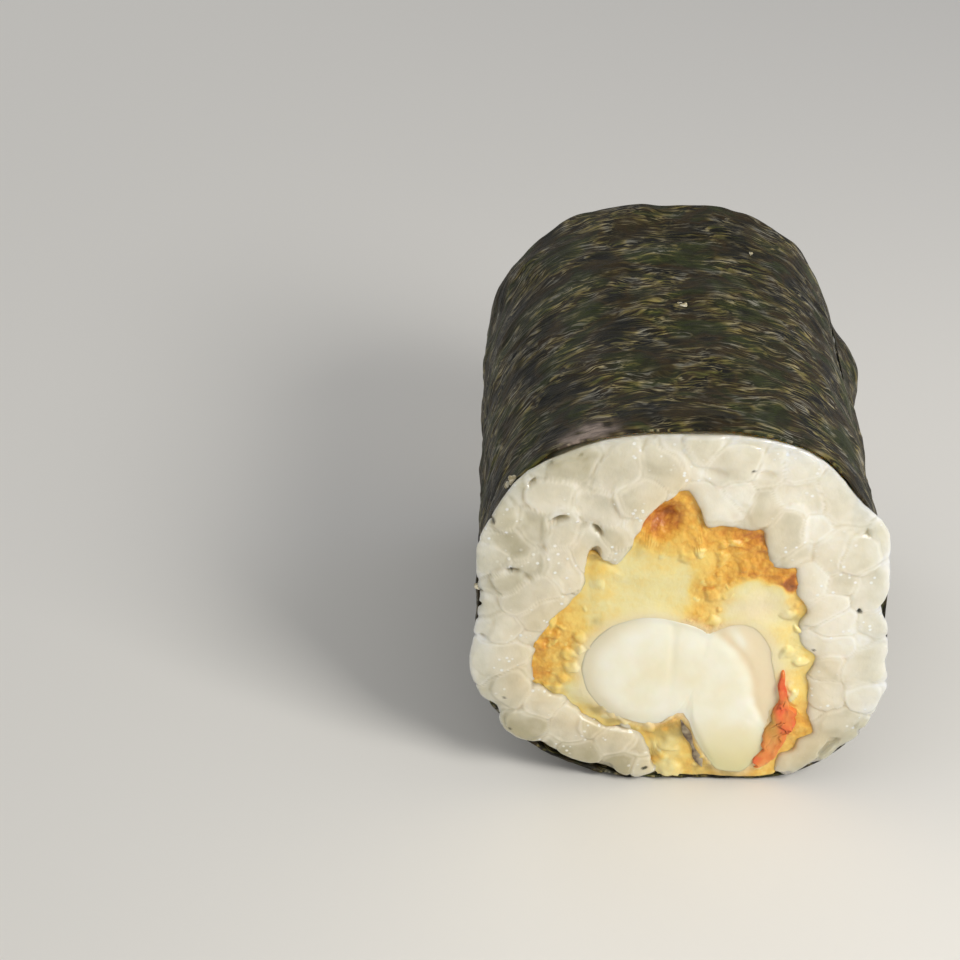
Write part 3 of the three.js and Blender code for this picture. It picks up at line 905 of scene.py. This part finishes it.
def damp_nori():
    """Brown and olive blotches, with pale dashes of painted highlight that come and go, and a film of
    starch at one place.
    """
    material, tree, shader = finish(
        "damp nori", IOR=1.42, Specular_IOR_Level=0.25, Coat_Weight=0.06, Coat_Roughness=0.3)
    around, across = (
        node(tree, "Attribute", "Fac", attribute_name=name) for name in ("around", "across"))
    flat = node(tree, "CombineXYZ", X=around, Y=across)
    drift = node(tree, "TexNoise", "Color", Vector=flat, Scale=0.3, Detail=1.0)
    drift = node(tree, "VectorMath", operation="SUBTRACT", _0=drift, _1=(0.5, 0.5, 0.5))
    wavy = node(tree, "VectorMath", operation="MULTIPLY_ADD", _0=drift, _1=(2.6, 2.6, 2.6), _2=flat)
    blotch = node(tree, "TexNoise", Vector=flat, Scale=0.25, Detail=3.0, Distortion=0.6)
    base = node(tree, "ValToRGB", _0=blotch, stops=[
        (0.32, "#0B0C08"), (0.43, "#1B180D"), (0.5, "#332814"), (0.56, "#22220E"),
        (0.64, "#2F3517"), (0.76, "#13160C")])
    zone = node(tree, "TexNoise", Vector=flat, Scale=0.3, Detail=2.0)
    zone = node(tree, "MapRange", Value=zone, From_Min=0.4, From_Max=0.6, To_Min=0.1, To_Max=1.0)
    painted_sheen, height = 0.0, 0.0
    for share, (lean, long_scale, cross_scale, low, high) in zip((1.0, 0.5), SHEEN_DASH_SETS):
        drawn = node(tree, "Mapping", vector_type="POINT", Vector=wavy, Rotation=(0, 0, lean),
                     Scale=(long_scale, cross_scale, 1.0))
        wrinkle_noise = node(tree, "TexNoise", Vector=drawn, Scale=1.0, Detail=2.0, Distortion=0.8)
        dash = node(tree, "MapRange", Value=wrinkle_noise, From_Min=low, From_Max=high)
        painted_sheen = node(tree, "Math", operation="MAXIMUM", _0=painted_sheen, _1=dash)
        height = node(tree, "Math", operation="MULTIPLY_ADD", _0=wrinkle_noise, _1=share, _2=height)
    painted_sheen = node(tree, "Math", operation="MULTIPLY", _0=painted_sheen, _1=zone)
    tint = node(tree, "TexNoise", Vector=flat, Scale=0.6, Detail=1.0)
    light = node(tree, "ValToRGB", _0=tint, stops=[
        (0.35, "#787A3A"), (0.48, "#A89858"), (0.56, "#BFB184"), (0.66, "#A09C8C")])
    # Painted highlights: the pale dashes stand in for light glinting on the wrinkles.
    painted_sheen_cover = node(tree, "Math", operation="MULTIPLY", _0=painted_sheen, _1=0.7)
    colour = node(tree, "Mix", 2, data_type="RGBA", Factor=painted_sheen_cover, _6=base, _7=light)
    colour = stained(tree, colour, ("film", 1.0, "#9A8A80"))
    gloss = node(tree, "MapRange", Value=painted_sheen, To_Min=0.55, To_Max=0.28)
    bump = node(tree, "Bump", Height=height, Strength=0.9, Distance=0.35 * MM)
    feed(tree, shader, Base_Color=colour, Roughness=gloss, Normal=bump)
    return material


dress(nori_sheet, damp_nori(), "nori", "nori")

# %% [markdown]
# ## The fried batter
#
# The batter was dipped thick and fried. Next to the shrimp it stayed pale and doughy, and outwards
# it browns to a golden crust with crumbs that broke off in the oil and baked on again. A crumb is
# a bump on the cut face: where a ball at its place would stick out, the face follows the ball. The
# shades are listed as spots, as one would dab them on with a brush.

# %% How brown the batter is
# The dark dabs in the nook under the crest, about X -2 and Z 28, and along the rice's upper edge at Z
# 26, are partly browning and partly painted shade.
DABS = [  # X, Z and radius in mm, and the shade there
    (-2.3, 27.7, 0.9, 0.92), (-1.3, 27.9, 0.8, 0.88), (-1.6, 29.3, 0.7, 0.62), (0.7, 30.4, 1.0, 0.5),
    (0.5, 28.9, 0.8, 0.52), (0.9, 32.0, 1.0, 0.4), (0.6, 27.4, 1.1, 0.52), (-2.2, 27.2, 1.2, 0.6),
    (-1.6, 25.8, 1.3, 0.42), (2.6, 26.4, 0.9, 0.6), (4.2, 26.3, 0.9, 0.68), (5.5, 26.2, 0.6, 0.76),
    (5.6, 24.9, 1.0, 0.6), (4.2, 24.6, 1.1, 0.52), (2.9, 25.2, 0.9, 0.46), (5.6, 23.0, 1.1, 0.57),
    (3.8, 22.8, 1.2, 0.5), (6.9, 23.2, 0.8, 0.62), (8.8, 21.9, 0.45, 0.9), (8.2, 22.8, 0.5, 0.64),
    (1.9, 23.9, 0.8, 0.34), (2.5, 21.0, 1.3, 0.47), (2.4, 19.8, 0.8, 0.4), (-2.2, 23.6, 1.6, 0.24),
    (-4.0, 21.6, 1.8, 0.18), (-1.2, 21.4, 1.6, 0.16), (-3.0, 19.4, 1.6, 0.14), (-6.4, 21.0, 1.3, 0.26),
    (-6.4, 18.8, 1.3, 0.22), (-7.3, 23.4, 0.9, 0.36), (-7.3, 25.2, 0.7, 0.5), (5.2, 20.2, 1.4, 0.1),
    (7.0, 19.6, 1.2, 0.08), (8.2, 18.4, 1.1, 0.16), (9.6, 19.2, 0.7, 0.42), (9.0, 16.4, 1.1, 0.24),
    (8.6, 14.2, 1.0, 0.12), (10.5, 13.6, 0.9, 0.28), (10.0, 11.6, 0.9, 0.3), (10.9, 9.4, 0.9, 0.36),
    (10.9, 6.4, 0.8, 0.5), (9.2, 2.6, 1.6, 0.4), (-9.9, 17.6, 0.8, 0.42), (-10.9, 15.6, 0.8, 0.48),
    (-11.5, 13.6, 0.7, 0.5), (-11.4, 12.2, 0.6, 0.62), (-9.6, 15.6, 0.9, 0.46), (-9.0, 13.6, 1.1, 0.4),
    (-9.2, 11.9, 0.9, 0.42), (-10.3, 10.5, 0.9, 0.34), (-8.4, 17.6, 0.9, 0.36), (-7.9, 16.2, 0.9, 0.3),
    (-7.6, 13.2, 1.3, 0.12), (-7.8, 10.2, 1.0, 0.1), (-6.4, 8.3, 1.0, 0.3), (-5.0, 6.9, 0.9, 0.34),
    (-2.9, 5.9, 0.9, 0.36), (-0.9, 6.3, 1.0, 0.5), (-0.6, 4.5, 1.0, 0.22), (-1.5, 2.9, 0.6, 0.5),
    (-0.1, 1.6, 1.0, 0.16), (2.0, 2.4, 1.4, 0.4), (5.0, 0.8, 1.6, 0.4)]
OLIVE_SHADE_SPOTS = [  # X, Z and radius in mm of spots painted olive as shade, in the cleft under the shrimp, in crevices and at the foot
    (0.8, 5.8, 1.0), (-1.1, 5.6, 0.8), (-0.2, 6.3, 0.6), (-1.6, 3.2, 0.5), (2.9, 1.7, 0.9),
    (5.2, 0.8, 1.2), (-6.6, 8.2, 0.7), (-5.3, 6.9, 0.7), (-7.2, 24.3, 0.8), (-6.9, 17.7, 0.35),
    (9.8, 18.3, 0.5), (-3.6, 5.9, 0.5)]
BARE_SHADE, BARE_WEIGHT = 0.5, 0.02  # of places that no dab reaches


def browning(x, z, y):
    """0 for pale dough to 1 for dark crust: the mean of the dabs' shades, each weighted by a bell
    curve round its dab, at places that noise has shifted by up to half a millimetre."""
    place = np.stack([x, y, z], -1)
    x, z = swung(x, z, -filling_turn(y))
    x = x + 0.45 * noise(place / 1.5)
    z = z + 0.45 * noise(place / 1.5 + 8)
    shades, weights = BARE_SHADE * BARE_WEIGHT, BARE_WEIGHT
    for dab_x, dab_z, radius, shade in DABS:
        weight = hump(apart(x, z, dab_x, dab_z), 0, radius)
        shades, weights = shades + weight * shade, weights + weight
    return np.clip(shades / weights + 0.05 * rough(place, 1.2), 0, 1)


def scattered_crumbs(count, rng):
    """Crumbs for one cut: X, Z, radius in mm, height and how much browner each is. They are drawn
    over the whole filling, and kept more often where it is brown."""
    direction, share = rng.uniform(0, 360, count * 6), np.sqrt(rng.uniform(0, 1, count * 6))
    reach = share * (listed(FILLING_BORDER, direction) + 0.3)
    right, up = right_and_up(direction)
    x, z = AXIS[0] + reach * right, AXIS[1] + reach * up
    brown = browning(x, z, 0 * x - NORI_END)
    kept = np.flatnonzero(rng.uniform(0.2, 0.7, count * 6) < brown)[:count]
    radius = 0.3 + 0.6 * rng.uniform(0, 1, len(kept)) ** 2
    return np.stack([x[kept], z[kept], radius, rng.uniform(0.05, 0.35, len(kept)) * radius,
                     rng.normal(-0.03, 0.06, len(kept))], -1)


BIG_CRUMBS = np.array([  # X, Z, radius, height in mm, and how much browner
    (-0.4, 4.4, 1.0, 0.4, 0), (0.0, 1.6, 1.3, 0.5, 0), (-10.3, 10.5, 0.9, 0.35, 0),
    (-9.2, 14.4, 0.8, 0.3, -0.05), (-9.0, 12.8, 0.7, 0.35, -0.05), (-10.8, 16.2, 1.0, 0.25, 0.05),
    (-8.3, 14.9, 0.5, 0.3, -0.08), (-9.7, 11.8, 0.6, 0.3, 0), (9.0, 18.6, 0.7, 0.3, 0),
    (9.7, 16.9, 0.6, 0.3, 0), (10.4, 13.6, 0.9, 0.4, -0.05), (9.1, 14.8, 0.7, 0.3, 0),
    (2.5, 20.5, 1.2, 0.25, 0), (4.0, 25.8, 0.6, 0.3, -0.15), (1.3, 24.9, 0.6, 0.3, -0.1),
    (3.2, 24.4, 0.8, 0.25, -0.05), (5.0, 23.4, 0.8, 0.2, 0), (9.7, 10.2, 0.6, 0.45, -0.2)])
CRUMBS = np.concatenate([BIG_CRUMBS, scattered_crumbs(240, np.random.default_rng(3))])
print("crumbs on the batter:", len(CRUMBS))


def crumb_bumps(x, z):
    """How far crumbs stand out of the face at a place, and the shade of the crumb that stands out
    most. Over a ball's middle it is its height, and it falls as the ball's surface does."""
    bump, shade = np.zeros_like(x), np.zeros_like(x)
    place = np.stack([x, 0 * x, z], -1)
    x, z = x + 0.45 * noise(place / 0.9), z + 0.45 * noise(place / 0.9 + 6)
    for crumb_x, crumb_z, radius, height, change in CRUMBS:
        off = apart(x, z, crumb_x, crumb_z)
        fall = radius - np.sqrt(np.maximum(radius**2 - off**2, 0))
        over = np.where(off < radius, height - fall, 0)
        shade = np.where(over > bump, change, shade)
        bump = np.maximum(bump, over)
    return bump, shade


BODY_BORDER = [  # direction and distance in mm, from the middle of the shrimp
    (16, 4.6), (39, 4.7), (61, 5.1), (82, 5.8), (103, 7.0), (123, 8.7), (138, 9.6), (150, 9.9),
    (160, 10.0), (169, 9.8), (182, 9.2), (194, 8.4), (204, 7.7), (213, 6.7), (223, 6.0), (236, 4.9),
    (246, 3.2), (256, 3.0), (268, 3.9), (278, 6.8), (285, 9.6), (296, 10.6), (303, 10.2),
    (312, 9.4), (320, 8.6), (329, 6.8), (340, 5.4), (352, 4.8)]
MUSCLE_BORDER = [
    (0, 7.3), (10, 7.1), (23, 7.2), (35, 7.7), (47, 8.0), (54, 8.1), (61, 7.9), (67, 7.4), (73, 6.7),
    (80, 5.8), (92, 3.0), (270, 2.0), (300, 4.0), (316, 7.0), (328, 7.9), (339, 7.3), (350, 7.5)]


def body_edge(direction, y):
    """Distance from the shrimp's middle to the edge of its firm body."""
    return listed(BODY_BORDER, turned(direction, y))


def muscle_edge(direction, y):
    """Distance to the edge of the paler muscle on the body's right."""
    return listed(MUSCLE_BORDER, turned(direction, y))


def shrimp_edge(direction, y):
    """Distance from the middle of the shrimp to its skin: the larger of body and muscle."""
    return np.maximum(body_edge(direction, y), muscle_edge(direction, y))


def inside_meat(x, z, y):
    """How far inside the shrimp's outline a place lies, in mm. Outside it is negative."""
    direction, distance = polar(x, z, MEAT_CENTRE)
    return shrimp_edge(direction, y) - distance


BATTER_DEPTH = 0.32  # mm that its cut face lies behind the batter's end
HEM = 0.24  # mm that it rises round the shrimp
NOOK = (-1.8, 28.1, 1.2, 1.0)  # X, Z, radius and depth in mm of the nook under the crest
SHRIMP_ROOM = 1.4  # mm that it falls behind the shrimp


def batter_relief(x, z, y):
    """Depth of the cut face: swells of 2.6 mm, bumps of 0.9 mm where it is crusty, a nook and
    crumbs. It is lower along the rice, rises round the shrimp and falls behind it."""
    place = np.stack([x, y, z], -1)
    inside = inside_meat(x, z, y)
    behind = smooth(inside, 0.25, 0.8)
    near_meat = hump(np.minimum(inside, 0), 0, 1.2)
    direction, distance = polar(x, z)
    beside_rice = hump(filling_border(direction, y) - distance, 0, 0.9)
    crusty = smooth(browning(x, z, y), 0.3, 0.6)
    swell = 0.2 * noise(place / 2.6) + (0.02 + 0.13 * crusty) * rough(place + 5, 0.9, 3)
    swell = swell * (1 - near_meat) - HEM * near_meat
    nook_x, nook_z, radius, depth = NOOK
    nook = depth * hump(apart(*swung(x, z, -filling_turn(y)), nook_x, nook_z), 0, radius)
    crumbs = crumb_bumps(x, z)[0] * (1 - behind)
    return BATTER_DEPTH + swell + nook + 0.14 * beside_rice - crumbs + SHRIMP_ROOM * behind


def batter_edge(direction, y):
    """Distance to the batter's rim, which is hidden 0.8 mm under the rice."""
    return np.minimum(filling_border(direction, y) + 0.8, nori_inside(direction, y) - 0.15)


batter_rings = plug(round_place(batter_edge), BATTER_END, 100, 420, 4, batter_relief, round_edge=0.3)
batter_points, batter_cells = capped(batter_rings)
x, y, z = batter_points.T
shades = np.clip(browning(x, z, y) + crumb_bumps(x, z)[1], 0, 1)
steamed = hump(x, 6.3, 2.4) * hump(z, 19.2, 1.5) * (y < 0)
steamed = np.maximum(steamed, 0.8 * hump(np.minimum(inside_meat(x, z, y), 0), 0, 0.7))
cut_place = swung(x, z, -filling_turn(y))
# Painted shade: olive in the cleft under the shrimp, in crevices and at the foot.
olive_shade = sum(hump(apart(*cut_place, *spot), 0, radius) for *spot, radius in OLIVE_SHADE_SPOTS)
batter = make_piece("fried_batter", batter_points, batter_cells, {
    "brown": shades, "steamed": steamed,
    "olive_shade": np.clip(olive_shade * (1 + noise(batter_points / 0.8)), 0, 1)})


# %% [markdown]
# Fried batter is a matt, porous crust soaked with oil, so it has a fine bump and a weak gloss.
# Pale dough lets some light in. Round the shrimp it is steamed pale, and in its cleft, in crevices and
# at its foot it is painted olive, as shade.

# %% Finish: fried batter
def fried_batter():
    """The mesh's browning with pores, and crumbs where it is crusty, through a scale of browns."""
    material, tree, shader = finish(
        "fried batter", Roughness=0.42, IOR=1.46, Subsurface_Weight=0.25,
        Subsurface_Radius=(1.0, 0.7, 0.3), Subsurface_Scale=0.8 * MM, Coat_Weight=0.3,
        Coat_Roughness=0.22)
    where = node(tree, "TexCoord", "Object")
    brown = node(tree, "Attribute", "Fac", attribute_name="brown")
    pores = node(tree, "TexNoise", Vector=where, Scale=1 / (0.6 * MM), Detail=4.0, Roughness=0.6)
    crusty = node(tree, "MapRange", Value=brown, From_Min=0.28, From_Max=0.5)
    crumbs = node(tree, "TexVoronoi", "Distance", Vector=where, Scale=1 / (0.6 * MM), Detail=1.0)
    crumbs = node(tree, "Math", operation="SUBTRACT", _0=crumbs, _1=0.42)
    crumbs = node(tree, "Math", operation="MULTIPLY", _0=crumbs, _1=crusty)
    shade = node(tree, "Math", operation="SUBTRACT", _0=pores, _1=0.5)
    shade = node(tree, "Math", operation="MULTIPLY_ADD", _0=shade, _1=0.2, _2=brown)
    shade = node(tree, "Math", operation="MULTIPLY_ADD", _0=crumbs, _1=0.16, _2=shade)
    colour = node(tree, "ValToRGB", _0=shade, stops=[
        (0.0, "#F3EBC4"), (0.18, "#F0E2A2"), (0.36, "#F3D272"), (0.54, "#EBB64C"),
        (0.68, "#DE9A34"), (0.82, "#BE6F24"), (1.0, "#8A4A16")])
    # The olive_shade stain is painted shade.
    colour = stained(tree, colour, ("steamed", 0.8, "#F0E0BC"), ("olive_shade", 0.75, "#B29B58"))
    height = node(tree, "Math", operation="MULTIPLY", _0=crumbs, _1=-0.9)
    height = node(tree, "Math", operation="MULTIPLY_ADD", _0=pores, _1=0.6, _2=height)
    bump = node(tree, "Bump", Height=height, Strength=0.6, Distance=0.16 * MM)
    feed(tree, shader, Base_Color=colour, Normal=bump)
    return material


dress(batter, fried_batter(), "batter", "batter")

# %% [markdown]
# ## The shrimp
#
# Cut across, a cooked shrimp shows a firm creamy body, and along its right a paler muscle that
# lets more light through. The plug's face is a low dome. It has a faint seam down the middle of
# the body, and the muscle lies a little lower.

# %% The meat
DOME, CREASE, SEAM, MUSCLE_DROP = 0.19, 0.1, 0.07, 0.08  # mm, in the cut face of the meat


def past_body(x, z, y):
    """How far beyond the body's edge a place lies, in mm."""
    direction, distance = polar(x, z, MEAT_CENTRE)
    return distance - body_edge(direction, y)


def meat_relief(x, z, y):
    """Depth of the meat's face: lower towards its edge, with a crease round the body, the muscle
    beyond it a little lower, a seam and faint flakes."""
    past, inside = past_body(x, z, y), inside_meat(x, z, y)
    crease = CREASE * hump(past, 0.15, 0.5) * smooth(inside, 0.3, 1.2)
    seam = SEAM * hump(x, -0.5, 0.35) * smooth(z, 9, 14) * smooth(-past, 0, 1)
    flakes = 0.03 * rough(np.stack([x, y, z], -1), 2.5)
    lower = DOME * hump(inside, 0, 1.5) + MUSCLE_DROP * smooth(past, 0, 0.7)
    return 0.05 + lower + crease + seam + flakes


meat_place = round_place(shrimp_edge, MEAT_CENTRE)
meat_rings = plug(meat_place, MEAT_END, 70, 240, 4, meat_relief, round_edge=0.05)
meat_points, meat_cells = capped(meat_rings)
x, y, z = meat_points.T
sliver = hump(x + 0.55 * (z - 16.2), 5.0, 0.55) * hump(z, 16.2, 1.3)
meat = make_piece("shrimp_meat", meat_points, meat_cells, {
    "muscle": smooth(past_body(x, z, y), -0.1, 0.6) * (1 - 0.8 * sliver),
    "rim": smooth(-x, 1.5, 5.5) * hump(np.maximum(inside_meat(x, z, y), 0), 0, 1.3),
    "foot": smooth(-z, -8.5, -2.0)})

# %% [markdown]
# Cooked shrimp is dense, white and damp. Light goes a little way in, and a thin wet film gives it
# a soft gloss. Its cream is cloudy, and a shade darker at the foot, at the left edge and in the
# muscle.

# %% Finish: cooked shrimp
def cooked_shrimp():
    """Two creams mixed by clouds of 4.5 mm, stained, with a bump of fine flakes."""
    material, tree, shader = finish(
        "cooked shrimp", Roughness=0.36, IOR=1.42, Subsurface_Weight=0.4,
        Subsurface_Radius=(1.4, 1.0, 0.7), Subsurface_Scale=1.2 * MM, Coat_Weight=0.25,
        Coat_Roughness=0.22)
    where = node(tree, "TexCoord", "Object")
    cloud = node(tree, "TexNoise", Vector=where, Scale=1 / (4.5 * MM), Detail=2.0)
    colour = node(tree, "ValToRGB", _0=cloud, stops=[(0.3, "#F6EED0"), (0.7, "#FFFBEC")])
    colour = stained(tree, colour, ("foot", 1.0, "#E4DBA8"), ("muscle", 1.0, "#F0DEBB"),
                     ("rim", 0.8, "#E0D2AC"))
    flake = node(tree, "TexNoise", Vector=where, Scale=1 / (0.9 * MM), Detail=3.0)
    bump = node(tree, "Bump", Height=flake, Strength=0.25, Distance=0.08 * MM)
    feed(tree, shader, Base_Color=colour, Normal=bump)
    return material


dress(meat, cooked_shrimp(), "shrimp", "shrimp")

# %% [markdown]
# Between the meat and the batter on the lower right runs a strip of the shrimp's skin, which
# turns orange-red when it is cooked, and in the cleft underneath runs the dark vein. Both are
# plugs whose outline is a flat oval, drawn out along a line.

# %% The skin strip and the vein
def oval(share, direction):
    """Share and direction on a squared oval, as two numbers from -1 to 1: cosine and sine, each
    brought nearer to 1 by a power of 0.7."""
    right, up = right_and_up(direction)
    return (share * np.sign(right) * np.abs(right) ** 0.7,
            share * np.sign(up) * np.abs(up) ** 0.7)


STRIP_LINE = [  # X, Z and half the width in mm, from the strip's top to its foot
    (8.9, 12.9, 0.25), (9.0, 11.0, 0.35), (9.2, 9.4, 0.5), (9.3, 8.2, 1.0), (9.2, 6.8, 1.35),
    (8.9, 5.4, 1.25), (8.5, 4.2, 0.95), (8.0, 3.0, 0.95), (7.4, 2.0, 0.5)]


def strip_place(share, direction, y):
    """A place in the strip: down its listed line by one number and out from it by the other."""
    along, across = oval(share, direction)
    down = (along + 1) / 2 * (len(STRIP_LINE) - 1)
    steps = np.arange(len(STRIP_LINE))
    line_x, line_z, half = (np.interp(down, steps, row) for row in np.array(STRIP_LINE).T)
    ragged = 0.5 * noise(np.stack([down * 1.7, across * 0.7, y / 9], -1))
    return swung(line_x + (across + ragged) * half, line_z + 0.25 * across * half, filling_turn(y))


def strip_relief(x, z, y):
    """Depth of the strip's face, with folds along it."""
    return 0.12 * rough(np.stack([x, y, z / 2.5], -1), 0.9) - 0.05


strip_points, strip_cells = capped(plug(strip_place, MEAT_END, 16, 96, 4, strip_relief, round_edge=0.35))
x, y, z = strip_points.T
strip = make_piece("skin_strip", strip_points, strip_cells, {
    "ochre": smooth(-(x - 8.9) - 0.25 * (z - 7.5), -0.3, 0.6) * hump(z, 7.4, 2.2)})


VEIN_TOP, VEIN_FOOT = (0.55, 7.4), (2.75, 1.8)  # X and Z of its two ends in mm


def vein_place(share, direction, y):
    """The vein hangs from the cleft's top to the foot, and is thick in two places."""
    along, across = oval(share, direction)
    down = (along + 1) / 2
    half = 0.14 + 0.28 * hump(down, 0.3, 0.15) + 0.36 * hump(down, 0.8, 0.13)
    (top_x, top_z), (foot_x, foot_z) = VEIN_TOP, VEIN_FOOT
    x = top_x + (foot_x - top_x) * down + half * across
    return swung(x, top_z + (foot_z - top_z) * down, filling_turn(y))


vein_points, vein_cells = capped(plug(vein_place, MEAT_END - 0.25, 8, 60, 4, round_edge=0.25))
vein = make_piece("dark_vein", vein_points, vein_cells)

# %% [markdown]
# Cooked shrimp skin is thin, red and damp, and it is ochre on its left, where the batter's oil
# soaked in. The vein is a dull grey-brown. Both are narrow, so a small noise colours each.

# %% Finishes: shrimp skin and vein
def shrimp_skin():
    """Orange to red by noise of 1.5 mm, with an ochre stain and a bump of 0.4 mm."""
    material, tree, shader = finish(
        "cooked shrimp skin", Roughness=0.33, IOR=1.42, Subsurface_Weight=0.2,
        Subsurface_Radius=(1.2, 0.5, 0.3), Subsurface_Scale=0.8 * MM, Coat_Weight=0.3,
        Coat_Roughness=0.2)
    where = node(tree, "TexCoord", "Object")
    cloud = node(tree, "TexNoise", Vector=where, Scale=1 / (1.5 * MM), Detail=3.0)
    colour = node(tree, "ValToRGB", _0=cloud, stops=[
        (0.32, "#F3A05A"), (0.45, "#F08A42"), (0.58, "#F0703A"), (0.72, "#E85C2E")])
    colour = stained(tree, colour, ("ochre", 1.0, "#C89A45"))
    grain = node(tree, "TexNoise", Vector=where, Scale=1 / (0.4 * MM), Detail=3.0)
    bump = node(tree, "Bump", Height=grain, Strength=0.4, Distance=0.1 * MM)
    feed(tree, shader, Base_Color=colour, Normal=bump)
    return material


def gut_vein():
    """Dark brown to grey by noise of 0.9 mm."""
    material, tree, shader = finish(
        "shrimp vein", Roughness=0.35, IOR=1.42, Coat_Weight=0.3, Coat_Roughness=0.2)
    where = node(tree, "TexCoord", "Object")
    cloud = node(tree, "TexNoise", Vector=where, Scale=1 / (0.9 * MM), Detail=3.0)
    colour = node(tree, "ValToRGB", _0=cloud, stops=[
        (0.35, "#5A4636"), (0.5, "#8F8069"), (0.7, "#B5A88E")])
    feed(tree, shader, Base_Color=colour)
    return material


dress(strip, shrimp_skin(), "shell", "shell_strip")
dress(vein, gut_vein(), "vein", "vein")

# %% [markdown]
# A few broken bits of rice stick to the nori and to the rim. They are lumpy balls, all in one piece.

# %% Bits of rice that stuck
STUCK = [  # direction, Y and radius in mm
    (131, -19.0, 0.4), (132.8, -18.8, 0.3), (151, -19.6, 0.24), (160.5, -19.6, 0.26),
    (88.4, 0.6, 0.3), (89.3, 0.9, 0.22), (114, 6.0, 0.16), (70, 12.0, 0.16)]


def ball_rings(direction, y, radius):
    """A ball of rings from pole to pole, lumpy by up to half its radius, on the nori."""
    reach = float(nori_inside(direction, y) + flare(direction, y)) + NORI_THICKNESS + 0.15
    right, up = right_and_up(direction)
    x, z = AXIS[0] + reach * right, AXIS[1] + reach * up
    down = np.linspace(0, np.pi, 12)[1:-1, None]
    turn = np.linspace(0, 2 * np.pi, 16, endpoint=False)
    unit = np.stack(
        [np.sin(down) * np.cos(turn), np.sin(down) * np.sin(turn), np.cos(down) + 0 * turn], -1)
    return (x, y, z) + unit * radius * (1 + 0.5 * noise(unit * 1.3 + x)[..., None])


stuck_points, stuck_cells = [], []
for place in STUCK:
    points, cells = capped(ball_rings(*place))
    stuck_cells.append(cells + sum(len(part) for part in stuck_points))
    stuck_points.append(points)
stuck = make_piece("stuck_rice_bits", np.concatenate(stuck_points), np.concatenate(stuck_cells))


def bits_of_rice():
    """Rice that has dried a little: duller than the rest, and grey to cream by noise of 0.5 mm."""
    material, tree, shader = finish(
        "broken cooked rice", Roughness=0.4, IOR=1.4, Subsurface_Weight=0.4,
        Subsurface_Radius=(1.0, 0.9, 0.7), Subsurface_Scale=0.6 * MM)
    where = node(tree, "TexCoord", "Object")
    cloud = node(tree, "TexNoise", Vector=where, Scale=1 / (0.5 * MM), Detail=3.0)
    colour = node(tree, "ValToRGB", _0=cloud, stops=[(0.4, "#A89B76"), (0.6, "#E3DBC4")])
    feed(tree, shader, Base_Color=colour)
    return material


dress(stuck, bits_of_rice(), "rice")

# %% [markdown]
# ## Floor, light and camera
#
# A pale floor and big soft lamps, as in a product studio: a key lamp from the front right, and weak
# ones on the left, on the right and behind.

# %% The stage
FLOOR_HALF = 3.0  # m


def stage_floor():
    """A square board, far larger than the piece."""
    material = finish("pale matt board", Roughness=0.9, Base_Color=linear("#E9E7E2"))[0]
    mesh = bpy.data.meshes.new("floor")
    corners = [(FLOOR_HALF * x, FLOOR_HALF * y, 0) for x, y in ((-1, -1), (1, -1), (1, 1), (-1, 1))]
    mesh.from_pydata(corners, [], [(0, 1, 2, 3)])
    mesh.materials.append(material)
    floor = bpy.data.objects.new("floor", mesh)
    bpy.context.scene.collection.objects.link(floor)


def lamp(name, place, aim, size, power, colour):
    """A square lamp at a place in mm that shines at another place."""
    data = bpy.data.lights.new(name, "AREA")
    data.size, data.energy, data.color = size * MM, power, linear(colour)[:3]
    made = bpy.data.objects.new(name, data)
    made.location = Vector(place) * MM
    made.rotation_euler = (Vector(aim) - Vector(place)).to_track_quat("-Z", "Y").to_euler()
    bpy.context.scene.collection.objects.link(made)
    print(f"lamp {name}: {size} mm wide, {power} W")


stage_floor()
MIDDLE = (0, 0, 16)
lamp("key", (115, -125, 150), MIDDLE, 80, 0.32, "#FFFCF6")
lamp("left", (-260, -60, 180), MIDDLE, 200, 0.05, "#FFFFFF")
lamp("right", (280, 140, 90), MIDDLE, 160, 0.06, "#C9D2FF")
lamp("back", (-170, 240, 220), MIDDLE, 200, 0.12, "#FFFFFF")
world = bpy.data.worlds.new("studio")
world.use_nodes = True
feed(world.node_tree, world.node_tree.nodes["Background"], Color=linear("#F2F2F2"), Strength=0.42)
bpy.context.scene.world = world
bpy.context.scene.view_settings.view_transform = "Standard"

# %% [markdown]
# The camera stands where the photograph was taken from, 34 degrees above the board and about
# 170 mm away, with the piece to the right of the middle of the frame. Place, aim and lens
# come from fitting the outline of the cut and of the nori.

# %% The camera
TILT_DOWN, TURN = 33.845, -0.965  # degrees
EYE = (-14.3, -160.7, 126.2)  # mm, where the camera stands
FOCAL_SHARE = 2127.3 / 960  # focal length over the picture's width
SENSOR = 36.0  # mm
tilt, aside = math.radians(TILT_DOWN), math.radians(TURN)
ahead = Vector((math.sin(aside) * math.cos(tilt), math.cos(aside) * math.cos(tilt), -math.sin(tilt)))
right = Vector((math.cos(aside), -math.sin(aside), 0))
camera_data = bpy.data.cameras.new("camera")
camera_data.sensor_width = SENSOR
camera_data.lens = SENSOR * FOCAL_SHARE
camera_data.clip_start = 0.01
camera = bpy.data.objects.new("camera", camera_data)
axes = Matrix((right, right.cross(ahead), -ahead)).transposed()
camera.matrix_world = Matrix.Translation(Vector(EYE) * MM) @ axes.to_4x4()
bpy.context.scene.collection.objects.link(camera)
bpy.context.scene.camera = camera
print(f"camera lens {camera_data.lens:.1f} mm")
